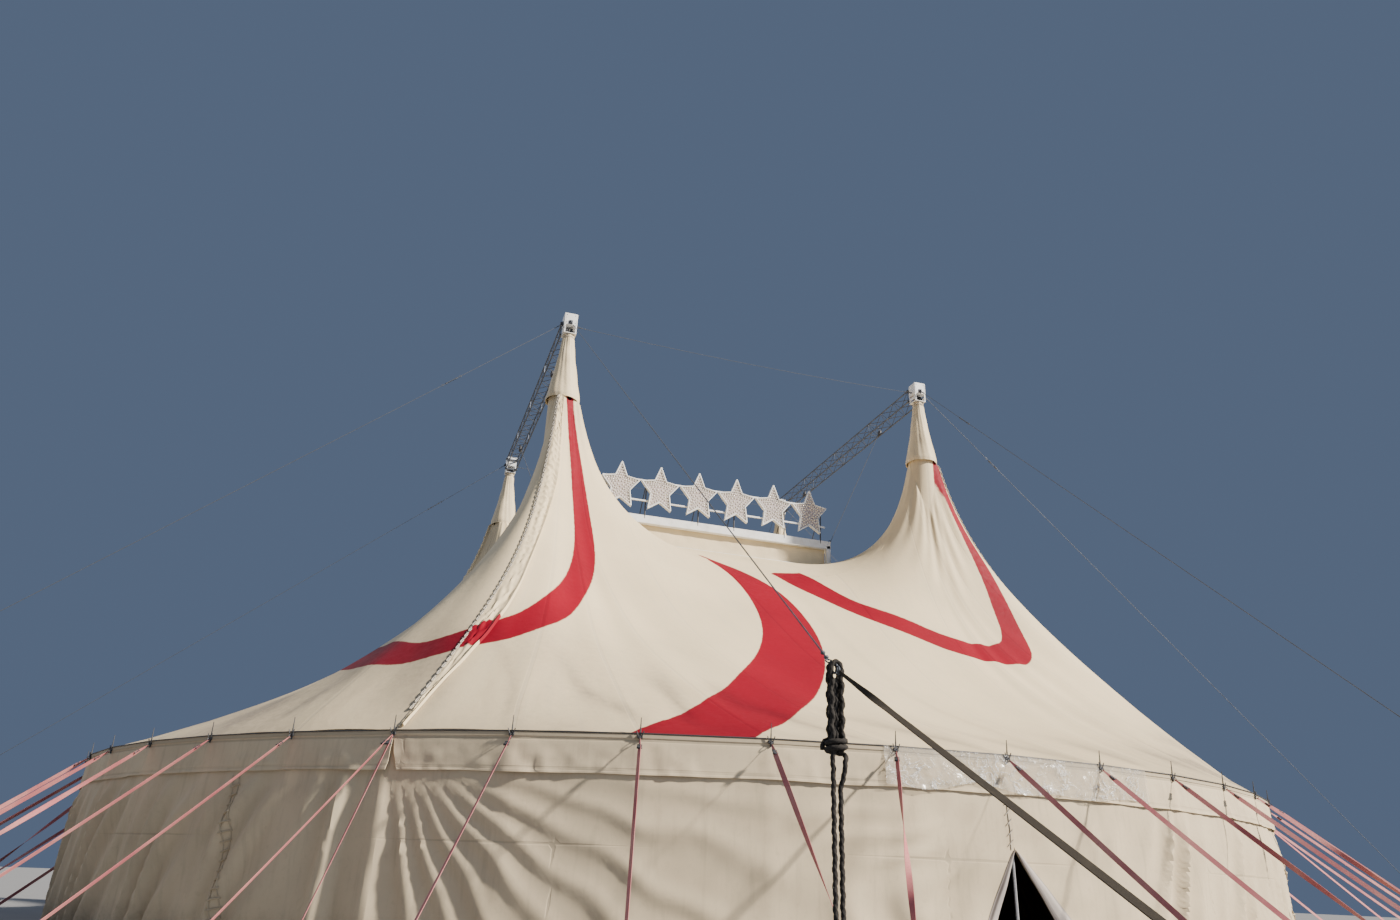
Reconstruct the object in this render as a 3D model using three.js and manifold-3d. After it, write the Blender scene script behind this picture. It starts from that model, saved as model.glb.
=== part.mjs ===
// Circus big top tent: a scale model at 1:2, in millimetres of the model, +Z up.
// The origin is the tent's centre on the ground. The front side faces -Y and looks along
// the line from the front left mast to the front right one.
import * as THREE from "three";
import { mergeVertices } from "three/addons/utils/BufferGeometryUtils.js";
import Module from "manifold-3d";

const wasm = await Module();
wasm.setup();

// Driving dimensions
const GAP = 0.3;
const MAST_OFFSET = 3230;
const MAST_RADIUS = 75;
const FOOT_SIZE = 300;
const FOOT_THICK = 20;
const HEAD_HEIGHT = 9260;
const HEAD_SIZE = 215;
const HEAD_FOOT = 9000;
const HEAD_PLATE = 12;
const HEAD_POST = 26;
const SHEAVE_RADIUS = 54;
const SHEAVE_THICK = 36;
const SHEAVE_DROP = 70;
const RING_THICK = 40;
const EAVE_RADIUS = 9000;
const EAVE_HEIGHT = 2060;
const BAY_COUNT = 48;
const QUARTER = BAY_COUNT / 4;
const SEAM_ANGLE = -124.7;
const CAP_BASE_HEIGHT = 7780;
const CAP_BASE_RADIUS = 290;
const CAP_TOP_RADIUS = 100;
const CAP_TOP_HEIGHT = 8985;
const CAP_SKIN = 10;
const CAP_CURVE = 1.3;
const COLLAR_RADIUS = 215;
const COLLAR_HEIGHT = 7900;
const COLLAR_DEPTH = 80;
const COLLAR_REACH = 1000;
const CANVAS = 16;
const WALL = 12;
const WALL_TOP = 2040;
const VALANCE = 14;
const VALANCE_DEPTH = 355;
const DOOR_BAY = 5;
const DOOR_HEIGHT = 1220;
const DOOR_LEFT = 0.42;
const DOOR_RIGHT = 0.7;
const FLAP = 10;
const FLAP_WIDTH = 0.42;
const FLAP_EDGE = 0.08;
const POLE_RADIUS = 14;
const POLE_HEIGHT = 2020;
const CUPOLA_HALF = 2020;
const CUPOLA_BASE = 6060;
const CUPOLA_TOP = 6550;
const CUPOLA_BEAM = 150;
const CUPOLA_LEG = 90;
const CUPOLA_PEAK = 6800;
const SKIRT_CLEAR = 20;
const SIGN_LEFT = -2270;
const SIGN_RIGHT = 1930;
const SIGN_BOTTOM = 6650;
const SIGN_TOP = 7450;
const SIGN_COUNT = 6;
const SIGN_THICK = 60;
const RAIL = 28;
const RAIL_LOW = 150;
const RAIL_HIGH = 280;
const TRUSS_SIZE = 250;
const TRUSS_HEIGHT = 9180;
const TRUSS_BAYS = 9;
const TRUSS_CHORD = 26;
const TRUSS_LACE = 14;
const LACE_APART = 18;
const LACE_START = 30;
const TRUSS_PLATE = 12;
const HOIST_PLACE = 1780;
const STRAP_WIDTH = 36;
const STRAP_THICK = 4;
const STRAP_REACH = 2400;
// The straps' turns from straight outward, in degrees, from the seam to the right: the one beside
// the entrance is led well aside
const STRAP_TURNS = [0, 3, 4, 6, -22, 10, 4, 0, 0, 0, 0, -3];
const SEAM_STRAP_TURN = 20;
const BELT_THICK = 6;
const STRIP_SHORT = 0.03;
const STAKE_SIZE = 24;
const STAKE_HEIGHT = 170;
const STRAP_TOP = 25;
const STRAP_START = 5;
const STRAP_FOOT = 70;
const BELT_DEPTH = 30;
const SPIKE_TAIL = 60;
const SPIKE_SIZE = 12;
const SPIKE_HEIGHT = 140;
const CABLE_RADIUS = 6.5;
const GUY_PLATE = 16;
const GUY_PLATE_WIDE = 60;
const GUY_PLATE_HIGH = 70;
const GUY_DROP = 60;
const ANCHOR_SIZE = 44;
const ANCHOR_HEIGHT = 220;
const TURNBUCKLE_RADIUS = 18;
const TURNBUCKLE_LENGTH = 220;
const SIDE_GUY_REACH = 10800;
const FRONT_GUY_REACH = 10160;
const ANCHOR_REACH = 13050;
const JOINT_REACH = 9640;
const JOINT_HEIGHT = 1850;
const JOINT_SIZE = 90;
const ANCHOR_STRAP_WIDTH = 48;
const ANCHOR_STRAP_FOOT = 60;
const TURNBUCKLE_PLACE = 1600;
const HEAD_CABLE_SAG = 60;
const HEAD_CABLE_DROP = 70;
const HANK_WIDTH = 110;
const HANK_THICK = 70;
const HANK_LENGTH = 1350;

// The roof's height: each mast pulls up a cone of canvas that leans to one side, the cupola
// lifts the middle, and the canvas stands a little higher along the laced seams
const CONE_LOG = 1380;
const CONE_LINE = 300;
const CONE_BLEND = 2;
const LIFT = 2100;
const LIFT_RADIUS = 4360;
const SEAM_LIFT = 590;
const SEAM_WIDTH = 0.45;
const SEAM_POWER = 0.7;
const LEAN_POWER = 0.2;

// Each lean's turn from the outward diagonal and its width, in degrees, and its rise
const LEANS = [
  [-60, 54, -720],
  [28, 23, 480],
  [125, 40, 330],
];

const MASTS = [
  ["front_left", -1, -1],
  ["front_right", 1, -1],
  ["rear_right", 1, 1],
  ["rear_left", -1, 1],
];
const SIDES = ["front", "right", "rear", "left"];

const tent = new THREE.Group();

const COLORS = {
  canvas: [0xe6d7b4, 0.85, 0],
  wall: [0xcfc09c, 0.9, 0],
  white: [0xeeeeea, 0.5, 0],
  steel: [0x4c5055, 0.5, 0.8],
  galvanised: [0x8a8f94, 0.45, 0.8],
  strap: [0xc98a80, 0.85, 0],
  rope: [0x1c1a19, 0.9, 0],
};

function add(name, geometry, color) {
  const [hex, roughness, metalness] = COLORS[color];
  const material = new THREE.MeshStandardMaterial({ color: hex, roughness, metalness });
  const mesh = new THREE.Mesh(geometry, material);
  mesh.name = name;
  tent.add(mesh);
  return mesh;
}

// Solids and booleans
function bare(geometry) {
  const plain = geometry.clone();
  plain.deleteAttribute("normal");
  plain.deleteAttribute("uv");
  return mergeVertices(plain, 1e-3);
}

function solid(geometry) {
  const plain = bare(geometry);
  return new wasm.Manifold(
    new wasm.Mesh({
      numProp: 3,
      vertProperties: new Float32Array(plain.attributes.position.array),
      triVerts: new Uint32Array(plain.index.array),
    }),
  );
}

function geometryOf(manifold) {
  const mesh = manifold.getMesh();
  const geometry = new THREE.BufferGeometry();
  geometry.setAttribute("position", new THREE.BufferAttribute(mesh.vertProperties, 3));
  geometry.setIndex(new THREE.BufferAttribute(mesh.triVerts, 1));
  return geometry;
}

function fuse(geometries) {
  return geometryOf(geometries.map(solid).reduce((whole, piece) => whole.add(piece)));
}

// Small builders
function box(x, y, z, sx, sy, sz) {
  return new THREE.BoxGeometry(sx, sy, sz).translate(x, y, z);
}

function tube(radius, height, z, sides = 12) {
  const geometry = new THREE.CylinderGeometry(radius, radius, height, sides);
  return geometry.rotateX(Math.PI / 2).translate(0, 0, z + height / 2);
}

// A straight bar of the given section between two points, wide across and thick upwards
function bar(from, to, wide, thick) {
  const along = new THREE.Vector3().subVectors(to, from);
  const length = along.length();
  along.normalize();
  const across = new THREE.Vector3(-along.y, along.x, 0);
  if (across.length() < 1e-6) across.set(0, 1, 0);
  across.normalize();
  const upward = new THREE.Vector3().crossVectors(along, across);
  const frame = new THREE.Matrix4().makeBasis(along, across, upward);
  const middle = new THREE.Vector3().addVectors(from, to).multiplyScalar(0.5);
  frame.setPosition(middle);
  return new THREE.BoxGeometry(length, wide, thick).applyMatrix4(frame);
}

function rod(from, to, radius, sides = 6) {
  const along = new THREE.Vector3().subVectors(to, from);
  const geometry = new THREE.CylinderGeometry(radius, radius, along.length(), sides);
  const turn = new THREE.Quaternion().setFromUnitVectors(
    new THREE.Vector3(0, 1, 0),
    along.clone().normalize(),
  );
  const middle = new THREE.Vector3().addVectors(from, to).multiplyScalar(0.5);
  const frame = new THREE.Matrix4().compose(middle, turn, new THREE.Vector3(1, 1, 1));
  return geometry.applyMatrix4(frame);
}

const point = (x, y, z) => new THREE.Vector3(x, y, z);
const UP = point(0, 0, 1);
const radians = (degrees) => (degrees * Math.PI) / 180;
const bayAzimuth = (bay) => SEAM_ANGLE + (bay * 360) / BAY_COUNT;

function polar(radius, degrees, z = 0) {
  const angle = radians(degrees);
  return point(radius * Math.cos(angle), radius * Math.sin(angle), z);
}

// A place on the eave polygon, counted in bays from the front left seam
function bayPoint(radius, bays, height = 0) {
  const bay = Math.floor(bays + 1e-9);
  const from = polar(radius, bayAzimuth(bay));
  return from.lerp(polar(radius, bayAzimuth(bay + 1)), bays - bay).setZ(height);
}

// Canvas surfaces
const seamFoot = polar(EAVE_RADIUS, SEAM_ANGLE);
const SEAM_AZIMUTH = (Math.atan2(seamFoot.y + MAST_OFFSET, seamFoot.x + MAST_OFFSET) * 180) / Math.PI;
const SEAM_TURN = radians(SEAM_AZIMUTH + 135);

// How far one turn, in radians, is from another the short way round
function turnBetween(turn, other) {
  return Math.atan2(Math.sin(turn - other), Math.cos(turn - other));
}

// A share that is 0 at the mast and exactly 1 on the eave circle
function mastShare(x, y, mastX, mastY) {
  const mastSquare = mastX * mastX + mastY * mastY;
  const mirror = (EAVE_RADIUS * EAVE_RADIUS) / mastSquare;
  const near = Math.max(Math.hypot(x - mastX, y - mastY), 1);
  const far = Math.hypot(x - mastX * mirror, y - mastY * mirror);
  return Math.min((EAVE_RADIUS * near) / (far * Math.sqrt(mastSquare)), 1);
}

function bell(value, width) {
  return Math.exp(-((value / width) ** 2));
}

// What the laced seam and the leans of a mast's cone add to the height
function coneRise(x, y, mastX, mastY, share) {
  const dx = x - mastX;
  const dy = y - mastY;
  const turn = Math.atan2(mastX * dy - mastY * dx, mastX * dx + mastY * dy);
  const seam = bell(turnBetween(turn, SEAM_TURN), SEAM_WIDTH);
  let rise = SEAM_LIFT * seam * Math.sin(Math.PI * share ** SEAM_POWER);
  for (const [middle, width, height] of LEANS) {
    const lean = bell(turnBetween(turn, radians(middle)), radians(width));
    rise += height * lean * Math.sin(Math.PI * share ** LEAN_POWER);
  }
  return rise;
}

function roofHeight(x, y) {
  let cones = 0;
  let rise = 0;
  for (const [, sx, sy] of MASTS) {
    const mastX = sx * MAST_OFFSET;
    const mastY = sy * MAST_OFFSET;
    const share = mastShare(x, y, mastX, mastY);
    cones += (CONE_LOG * Math.log(1 / share) + CONE_LINE * (1 - share)) ** CONE_BLEND;
    rise += coneRise(x, y, mastX, mastY, share);
  }
  const centre = Math.hypot(x, y);
  const lift = LIFT * Math.exp(-((centre / LIFT_RADIUS) ** 2)) * (1 - (centre / EAVE_RADIUS) ** 2);
  return EAVE_HEIGHT + cones ** (1 / CONE_BLEND) + lift + rise;
}

function roofNormal(x, y) {
  const step = 2;
  const slopeX = (roofHeight(x + step, y) - roofHeight(x - step, y)) / (2 * step);
  const slopeY = (roofHeight(x, y + step) - roofHeight(x, y - step)) / (2 * step);
  return point(-slopeX, -slopeY, 1).normalize();
}

// A closed shell from two matching grids of points: rows by columns, outer and inner
function shell(outer, inner, closed = false) {
  const rows = outer.length;
  const columns = outer[0].length;
  const positions = [];
  for (const grid of [outer, inner]) {
    for (const row of grid) {
      for (const p of row) positions.push(p.x, p.y, p.z);
    }
  }
  const index = [];
  const at = (side, r, c) => side * rows * columns + r * columns + (c % columns);
  const quad = (a, b, c, d) => index.push(a, b, c, a, c, d);
  const lastColumn = closed ? columns : columns - 1;
  for (let r = 0; r < rows - 1; r++) {
    for (let c = 0; c < lastColumn; c++) {
      quad(at(0, r, c), at(0, r + 1, c), at(0, r + 1, c + 1), at(0, r, c + 1));
      quad(at(1, r, c), at(1, r, c + 1), at(1, r + 1, c + 1), at(1, r + 1, c));
    }
  }
  for (let c = 0; c < lastColumn; c++) {
    quad(at(0, 0, c), at(0, 0, c + 1), at(1, 0, c + 1), at(1, 0, c));
    quad(at(0, rows - 1, c + 1), at(0, rows - 1, c), at(1, rows - 1, c), at(1, rows - 1, c + 1));
  }
  if (!closed) {
    const last = columns - 1;
    for (let r = 0; r < rows - 1; r++) {
      quad(at(0, r, 0), at(1, r, 0), at(1, r + 1, 0), at(0, r + 1, 0));
      quad(at(0, r, last), at(0, r + 1, last), at(1, r + 1, last), at(1, r, last));
    }
  }
  const geometry = new THREE.BufferGeometry();
  geometry.setAttribute("position", new THREE.Float32BufferAttribute(positions, 3));
  geometry.setIndex(index);
  return geometry;
}

// Canopy: four outer sections, laced together along seams from each mast to the eave, and a
// middle section between the masts with the cupola's square hole
const ROWS = 8;
const ARC_LEFT = 6;
const RIDGE = 9;
const ARC_RIGHT = 9;
const MIDDLE_ARC = 4;
const MIDDLE_ROWS = 4;

// A plan point on the ridge between the two front masts, with closer steps near the masts
function ridgePoint(step) {
  const half = MAST_OFFSET - COLLAR_RADIUS;
  return point(-half * Math.cos((Math.PI * step) / RIDGE), -MAST_OFFSET, 0);
}

// The inner edge of the front section in plan, from one laced seam round to the next
function frontInnerEdge() {
  const edge = [];
  for (let i = 0; i <= ARC_LEFT; i++) {
    const azimuth = SEAM_AZIMUTH * (1 - i / ARC_LEFT);
    edge.push(polar(COLLAR_RADIUS, azimuth).add(point(-MAST_OFFSET, -MAST_OFFSET, 0)));
  }
  for (let i = 1; i < RIDGE; i++) edge.push(ridgePoint(i));
  for (let i = 0; i <= ARC_RIGHT; i++) {
    const azimuth = 180 + ((SEAM_AZIMUTH + 270) * i) / ARC_RIGHT;
    edge.push(polar(COLLAR_RADIUS, azimuth).add(point(MAST_OFFSET, -MAST_OFFSET, 0)));
  }
  return edge;
}

function mastDistance(p) {
  const distances = MASTS.map(([, sx, sy]) => Math.hypot(p.x - sx * MAST_OFFSET, p.y - sy * MAST_OFFSET));
  return Math.min(...distances);
}

function nearestMast(p) {
  return point(Math.sign(p.x) * MAST_OFFSET, Math.sign(p.y) * MAST_OFFSET, 0);
}

// The canvas near a mast stays under a cone that fits inside the cap
function canvasHeight(x, y, reach) {
  const height = roofHeight(x, y);
  if (reach > COLLAR_REACH) return height;
  return Math.min(height, COLLAR_HEIGHT - COLLAR_DEPTH - (reach - COLLAR_RADIUS));
}

// Outer and inner canvas points over a plan point: at the mast a vertical collar, elsewhere
// the roof's surface and the same surface set back by the canvas, straight down on a ridge
function canvasPair(plan, isCollar, isRidge) {
  if (isCollar) {
    const mast = nearestMast(plan);
    const outward = plan.clone().sub(mast).setZ(0).normalize();
    const outer = mast.clone().addScaledVector(outward, COLLAR_RADIUS).setZ(COLLAR_HEIGHT);
    const inner = mast.clone().addScaledVector(outward, COLLAR_RADIUS - CANVAS).setZ(COLLAR_HEIGHT);
    return [outer, inner];
  }
  const outer = point(plan.x, plan.y, canvasHeight(plan.x, plan.y, mastDistance(plan)));
  const normal = roofNormal(plan.x, plan.y);
  const inner = outer.clone().addScaledVector(isRidge ? UP : normal, -CANVAS / (isRidge ? normal.z : 1));
  return [outer, inner];
}

function spread(from, to, share) {
  const start = mastDistance(from);
  const length = from.distanceTo(to);
  const reached = start * ((start + length) / start) ** share - start;
  return from.clone().lerp(to, reached / length);
}

function frontSection() {
  const edge = frontInnerEdge();
  const outer = [];
  const inner = [];
  for (let r = 0; r <= ROWS; r++) {
    const outerRow = [];
    const innerRow = [];
    edge.forEach((start, c) => {
      const plan = spread(start, bayPoint(EAVE_RADIUS, (c * QUARTER) / (edge.length - 1)), r / ROWS);
      const isCollar = r === 0 && mastDistance(start) < COLLAR_RADIUS + 1;
      const [out, inn] = canvasPair(plan, isCollar, r === 0);
      const side = seamShift(c, edge.length - 1, r, isCollar);
      outerRow.push(out.add(side));
      innerRow.push(inn.add(side));
    });
    outer.push(outerRow);
    inner.push(innerRow);
  }
  return shell(outer, inner);
}

// Sections stop short of their shared seams by half a gap
function seamShift(column, last, row, isCollar) {
  if (column === 0) return polar(GAP / 2, SEAM_AZIMUTH + 90);
  if (column === last) return polar(GAP / 2, SEAM_AZIMUTH);
  if (row === 0 && !isCollar) return point(0, -GAP / 2, 0);
  return point(0, 0, 0);
}

function middleSection() {
  const loop = [];
  for (let q = 0; q < 4; q++) {
    const turn = new THREE.Matrix4().makeRotationZ((q * Math.PI) / 2);
    const corner = point(-MAST_OFFSET, -MAST_OFFSET, 0);
    for (let i = 0; i <= MIDDLE_ARC; i++) {
      const azimuth = 90 - (90 * i) / MIDDLE_ARC;
      loop.push(polar(COLLAR_RADIUS, azimuth).add(corner).applyMatrix4(turn));
    }
    for (let i = 1; i < RIDGE; i++) loop.push(ridgePoint(i).applyMatrix4(turn));
  }
  const outer = [];
  const inner = [];
  for (let r = 0; r <= MIDDLE_ROWS; r++) {
    const outerRow = [];
    const innerRow = [];
    for (const start of loop) {
      const [out, inn] = middlePair(start, r);
      outerRow.push(out);
      innerRow.push(inn);
    }
    outer.push(outerRow.reverse());
    inner.push(innerRow.reverse());
  }
  return shell(outer, inner, true);
}

// Outer and inner points of the middle section, which rises or sinks to the cupola's base ring
function middlePair(start, row) {
  const largest = Math.max(Math.abs(start.x), Math.abs(start.y));
  const hole = start.clone().multiplyScalar((CUPOLA_HALF + GAP) / largest);
  const share = row / MIDDLE_ROWS;
  const plan = spread(start, hole, share);
  const isCollar = row === 0 && mastDistance(start) < COLLAR_RADIUS + 1;
  const [outer, inner] = canvasPair(plan, isCollar, row === 0);
  const change = (CUPOLA_BASE - roofHeight(hole.x, hole.y)) * share * share;
  const shift = start.clone().normalize().multiplyScalar(row === 0 ? -GAP : 0);
  shift.z = change;
  outer.add(shift);
  inner.add(shift);
  if (row === MIDDLE_ROWS) inner.copy(outer).setZ(outer.z - CANVAS);
  return [outer, inner];
}

function addCanopy() {
  SIDES.forEach((side, q) => {
    const section = frontSection().rotateZ((q * Math.PI) / 2);
    add("canopy_" + side, section, "canvas");
  });
  add("canopy_middle", middleSection(), "canvas");
}

// Masts: a round tube on a foot plate, with the bail ring that the canvas hangs from
function bailRing() {
  const seam = SEAM_AZIMUTH + 360;
  const corners = [];
  for (let i = 0; i < ARC_LEFT; i++) corners.push(seam + ((360 - seam) * i) / ARC_LEFT);
  for (let i = 0; i < MIDDLE_ARC; i++) corners.push(360 + (90 * i) / MIDDLE_ARC);
  for (let i = 0; i < ARC_RIGHT; i++) corners.push(450 + ((seam - 90) * i) / ARC_RIGHT);
  const outline = new THREE.Shape();
  corners.forEach((azimuth, i) => {
    const p = polar(COLLAR_RADIUS - CANVAS - GAP, azimuth);
    if (i === 0) outline.moveTo(p.x, p.y);
    else outline.lineTo(p.x, p.y);
  });
  outline.closePath();
  const ring = new THREE.ExtrudeGeometry(outline, { depth: RING_THICK, bevelEnabled: false });
  return ring.translate(0, 0, COLLAR_HEIGHT - RING_THICK);
}

function mastBody() {
  const foot = box(0, 0, FOOT_THICK / 2, FOOT_SIZE, FOOT_SIZE, FOOT_THICK);
  const pole = tube(MAST_RADIUS, HEAD_FOOT - GAP - FOOT_THICK / 2, FOOT_THICK / 2);
  return fuse([foot, pole, bailRing()]);
}

// Mast heads: a box over an open yoke with a sheave, all on a plate on the mast
function mastHead() {
  const half = HEAD_SIZE / 2;
  const boxFoot = HEAD_HEIGHT - half;
  const axle = boxFoot - SHEAVE_DROP;
  const place = half - HEAD_POST / 2;
  const height = boxFoot - HEAD_FOOT;
  const pieces = [
    box(0, 0, HEAD_HEIGHT, HEAD_SIZE, HEAD_SIZE, HEAD_SIZE),
    box(0, 0, HEAD_FOOT + HEAD_PLATE / 2, HEAD_SIZE, HEAD_SIZE, HEAD_PLATE),
    rod(point(-place, 0, axle), point(place, 0, axle), 12),
    rod(point(-SHEAVE_THICK / 2, 0, axle), point(SHEAVE_THICK / 2, 0, axle), SHEAVE_RADIUS, 10),
  ];
  for (const sx of [-1, 1]) {
    for (const sy of [-1, 1]) {
      pieces.push(box(sx * place, sy * place, HEAD_FOOT + height / 2 + 2, HEAD_POST, HEAD_POST, height + 4));
    }
    pieces.push(box(sx * place, 0, axle - 5, HEAD_POST, HEAD_SIZE - 4, 40));
  }
  return fuse(pieces);
}

// Caps: slender canvas cones that shed rain over the top of each canvas cone
function capShell() {
  const steps = 6;
  const outside = [];
  const inside = [];
  for (let i = 0; i <= steps; i++) {
    const share = i / steps;
    const radius = CAP_TOP_RADIUS + (CAP_BASE_RADIUS - CAP_TOP_RADIUS) * (1 - share) ** CAP_CURVE;
    const height = CAP_BASE_HEIGHT + (CAP_TOP_HEIGHT - CAP_BASE_HEIGHT) * share;
    outside.push(new THREE.Vector2(radius, height));
    inside.push(new THREE.Vector2(radius - CAP_SKIN, height));
  }
  const bore = MAST_RADIUS + GAP;
  const lip = [
    new THREE.Vector2(bore, CAP_TOP_HEIGHT),
    new THREE.Vector2(bore, CAP_TOP_HEIGHT - CAP_SKIN),
  ];
  inside.pop();
  inside.push(new THREE.Vector2(CAP_TOP_RADIUS - CAP_SKIN, CAP_TOP_HEIGHT - CAP_SKIN));
  const profile = [...outside, ...lip, ...inside.reverse(), outside[0].clone()];
  return new THREE.LatheGeometry(profile, 12).rotateX(Math.PI / 2);
}

function addMasts() {
  for (const [name, sx, sy] of MASTS) {
    const x = sx * MAST_OFFSET;
    const y = sy * MAST_OFFSET;
    const turn = Math.atan2(sy, sx) + (3 * Math.PI) / 4;
    const place = (geometry) => geometry.rotateZ(turn).translate(x, y, 0);
    add("mast_" + name, place(mastBody()), "galvanised");
    add("mast_head_" + name, place(mastHead()), "white");
    add("mast_cap_" + name, place(capShell()), "canvas");
  }
}

// Side walls and valance: upright canvas along the eave polygon. A curtain hangs between
// two bay places; startAt and endAt give each row's own ends
function curtain(radius, thick, heights, first, last, startAt, endAt) {
  const endGap = GAP / (2 * radius * radians(360 / BAY_COUNT));
  const outer = [];
  const inner = [];
  for (const height of heights) {
    const places = [startAt(height) + endGap];
    for (let bay = first + 1; bay < last; bay++) places.push(bay);
    places.push(endAt(height) - endGap);
    outer.push(places.map((place) => bayPoint(radius, place, height)));
    inner.push(places.map((place) => bayPoint(radius - thick, place, height)));
  }
  return shell(outer, inner);
}

function doorShift(height) {
  return Math.max(0, 1 - height / DOOR_HEIGHT);
}

function addWalls() {
  const rows = [WALL_TOP, 0];
  const doorRows = [WALL_TOP, DOOR_HEIGHT, 0];
  const doorLeft = (z) => DOOR_BAY - DOOR_LEFT * doorShift(z);
  const doorRight = (z) => DOOR_BAY + DOOR_RIGHT * doorShift(z);
  const wall = (heights, first, last, startAt, endAt) =>
    curtain(EAVE_RADIUS, WALL, heights, first, last, startAt, endAt);
  const left = wall(doorRows, 0, DOOR_BAY, () => 0, doorLeft);
  const right = wall(doorRows, DOOR_BAY, QUARTER, doorRight, () => QUARTER);
  add("sidewall_front_left", left, "wall");
  add("sidewall_front_right", right, "wall");
  SIDES.slice(1).forEach((side, i) => {
    const first = (i + 1) * QUARTER;
    add("sidewall_" + side, wall(rows, first, first + QUARTER, () => first, () => first + QUARTER), "wall");
  });
}

// The entrance flap, folded back against the wall beside the opening
function addFlap() {
  const radius = EAVE_RADIUS + GAP + FLAP;
  const heights = [DOOR_HEIGHT, 0];
  const width = (z) => FLAP_EDGE + FLAP_WIDTH * doorShift(z);
  const startAt = (z) => DOOR_BAY + 0.02 + DOOR_RIGHT * doorShift(z);
  const endAt = (z) => Math.min(startAt(z) + width(z), DOOR_BAY + 0.99);
  const flap = curtain(radius, FLAP, heights, DOOR_BAY, DOOR_BAY + 1, startAt, endAt);
  add("entrance_flap", flap, "wall");
}

function addValance() {
  const rows = [EAVE_HEIGHT, EAVE_HEIGHT - VALANCE_DEPTH];
  const radius = EAVE_RADIUS + GAP + VALANCE;
  SIDES.forEach((side, i) => {
    const first = i * QUARTER;
    const last = first + QUARTER;
    add("valance_" + side, curtain(radius, VALANCE, rows, first, last, () => first, () => last), "wall");
  });
}

// Side poles, held in a row by the eave cable
const POLE_PLACE = EAVE_RADIUS - WALL - POLE_RADIUS - 0.4;

// Turns a piece outward and moves it to a bay's place on the eave polygon
function atBay(geometry, radius, bay) {
  const foot = bayPoint(radius, bay, 0);
  return geometry.rotateZ(radians(bayAzimuth(bay))).translate(foot.x, foot.y, 0);
}

// A strip along a quarter of the eave, ending just short of the next quarter's first post
function eaveStrip(radius, thick, top, depth, first, last) {
  const endAt = () => last - STRIP_SHORT;
  return curtain(radius, thick, [top, top - depth], first, last, () => first, endAt);
}

function addPoles() {
  SIDES.forEach((side, i) => {
    const first = i * QUARTER;
    const pieces = [eaveStrip(POLE_PLACE + 4, 8, POLE_HEIGHT - 10, 8, first, first + QUARTER)];
    for (let bay = first; bay < first + QUARTER; bay++) {
      const pole = tube(POLE_RADIUS, POLE_HEIGHT, 0, 6).rotateZ(radians(30));
      pieces.push(atBay(pole, POLE_PLACE, bay));
    }
    add("side_poles_" + side, fuse(pieces), "steel");
  });
}

// Straps from the pole spikes to the stakes, joined along the eave by the edge belt
const BELT_INNER = EAVE_RADIUS + VALANCE + 2 * GAP;
const SPIKE_PLACE = BELT_INNER + 1 + SPIKE_SIZE / 2;

function strapRun(bay, turn) {
  const away = polar(STRAP_REACH, turn);
  const top = polar(STRAP_START, turn, EAVE_HEIGHT - STRAP_TOP);
  const stake = box(0, 0, STAKE_HEIGHT / 2, STAKE_SIZE, STAKE_SIZE, STAKE_HEIGHT);
  stake.rotateZ(radians(turn)).translate(away.x, away.y, 0);
  const strap = bar(top, away.clone().setZ(STRAP_FOOT), STRAP_WIDTH, STRAP_THICK);
  return [atBay(strap, SPIKE_PLACE, bay), atBay(stake, SPIKE_PLACE, bay)];
}

function addStraps() {
  const length = SPIKE_HEIGHT + SPIKE_TAIL;
  const middle = EAVE_HEIGHT - SPIKE_TAIL + length / 2;
  const beltTop = EAVE_HEIGHT - 10;
  const belt = eaveStrip(BELT_INNER + BELT_THICK, BELT_THICK, beltTop, BELT_DEPTH, 0, QUARTER);
  const pieces = [belt, ...strapRun(0, SEAM_STRAP_TURN)];
  for (let bay = 0; bay < QUARTER; bay++) {
    const spike = box(0, 0, middle, SPIKE_SIZE, SPIKE_SIZE, length);
    pieces.push(atBay(spike, SPIKE_PLACE, bay), ...strapRun(bay, STRAP_TURNS[bay]));
  }
  const quarter = fuse(pieces);
  SIDES.forEach((side, i) => {
    add("guy_straps_" + side, quarter.clone().rotateZ((i * Math.PI) / 2), "strap");
  });
}

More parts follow.
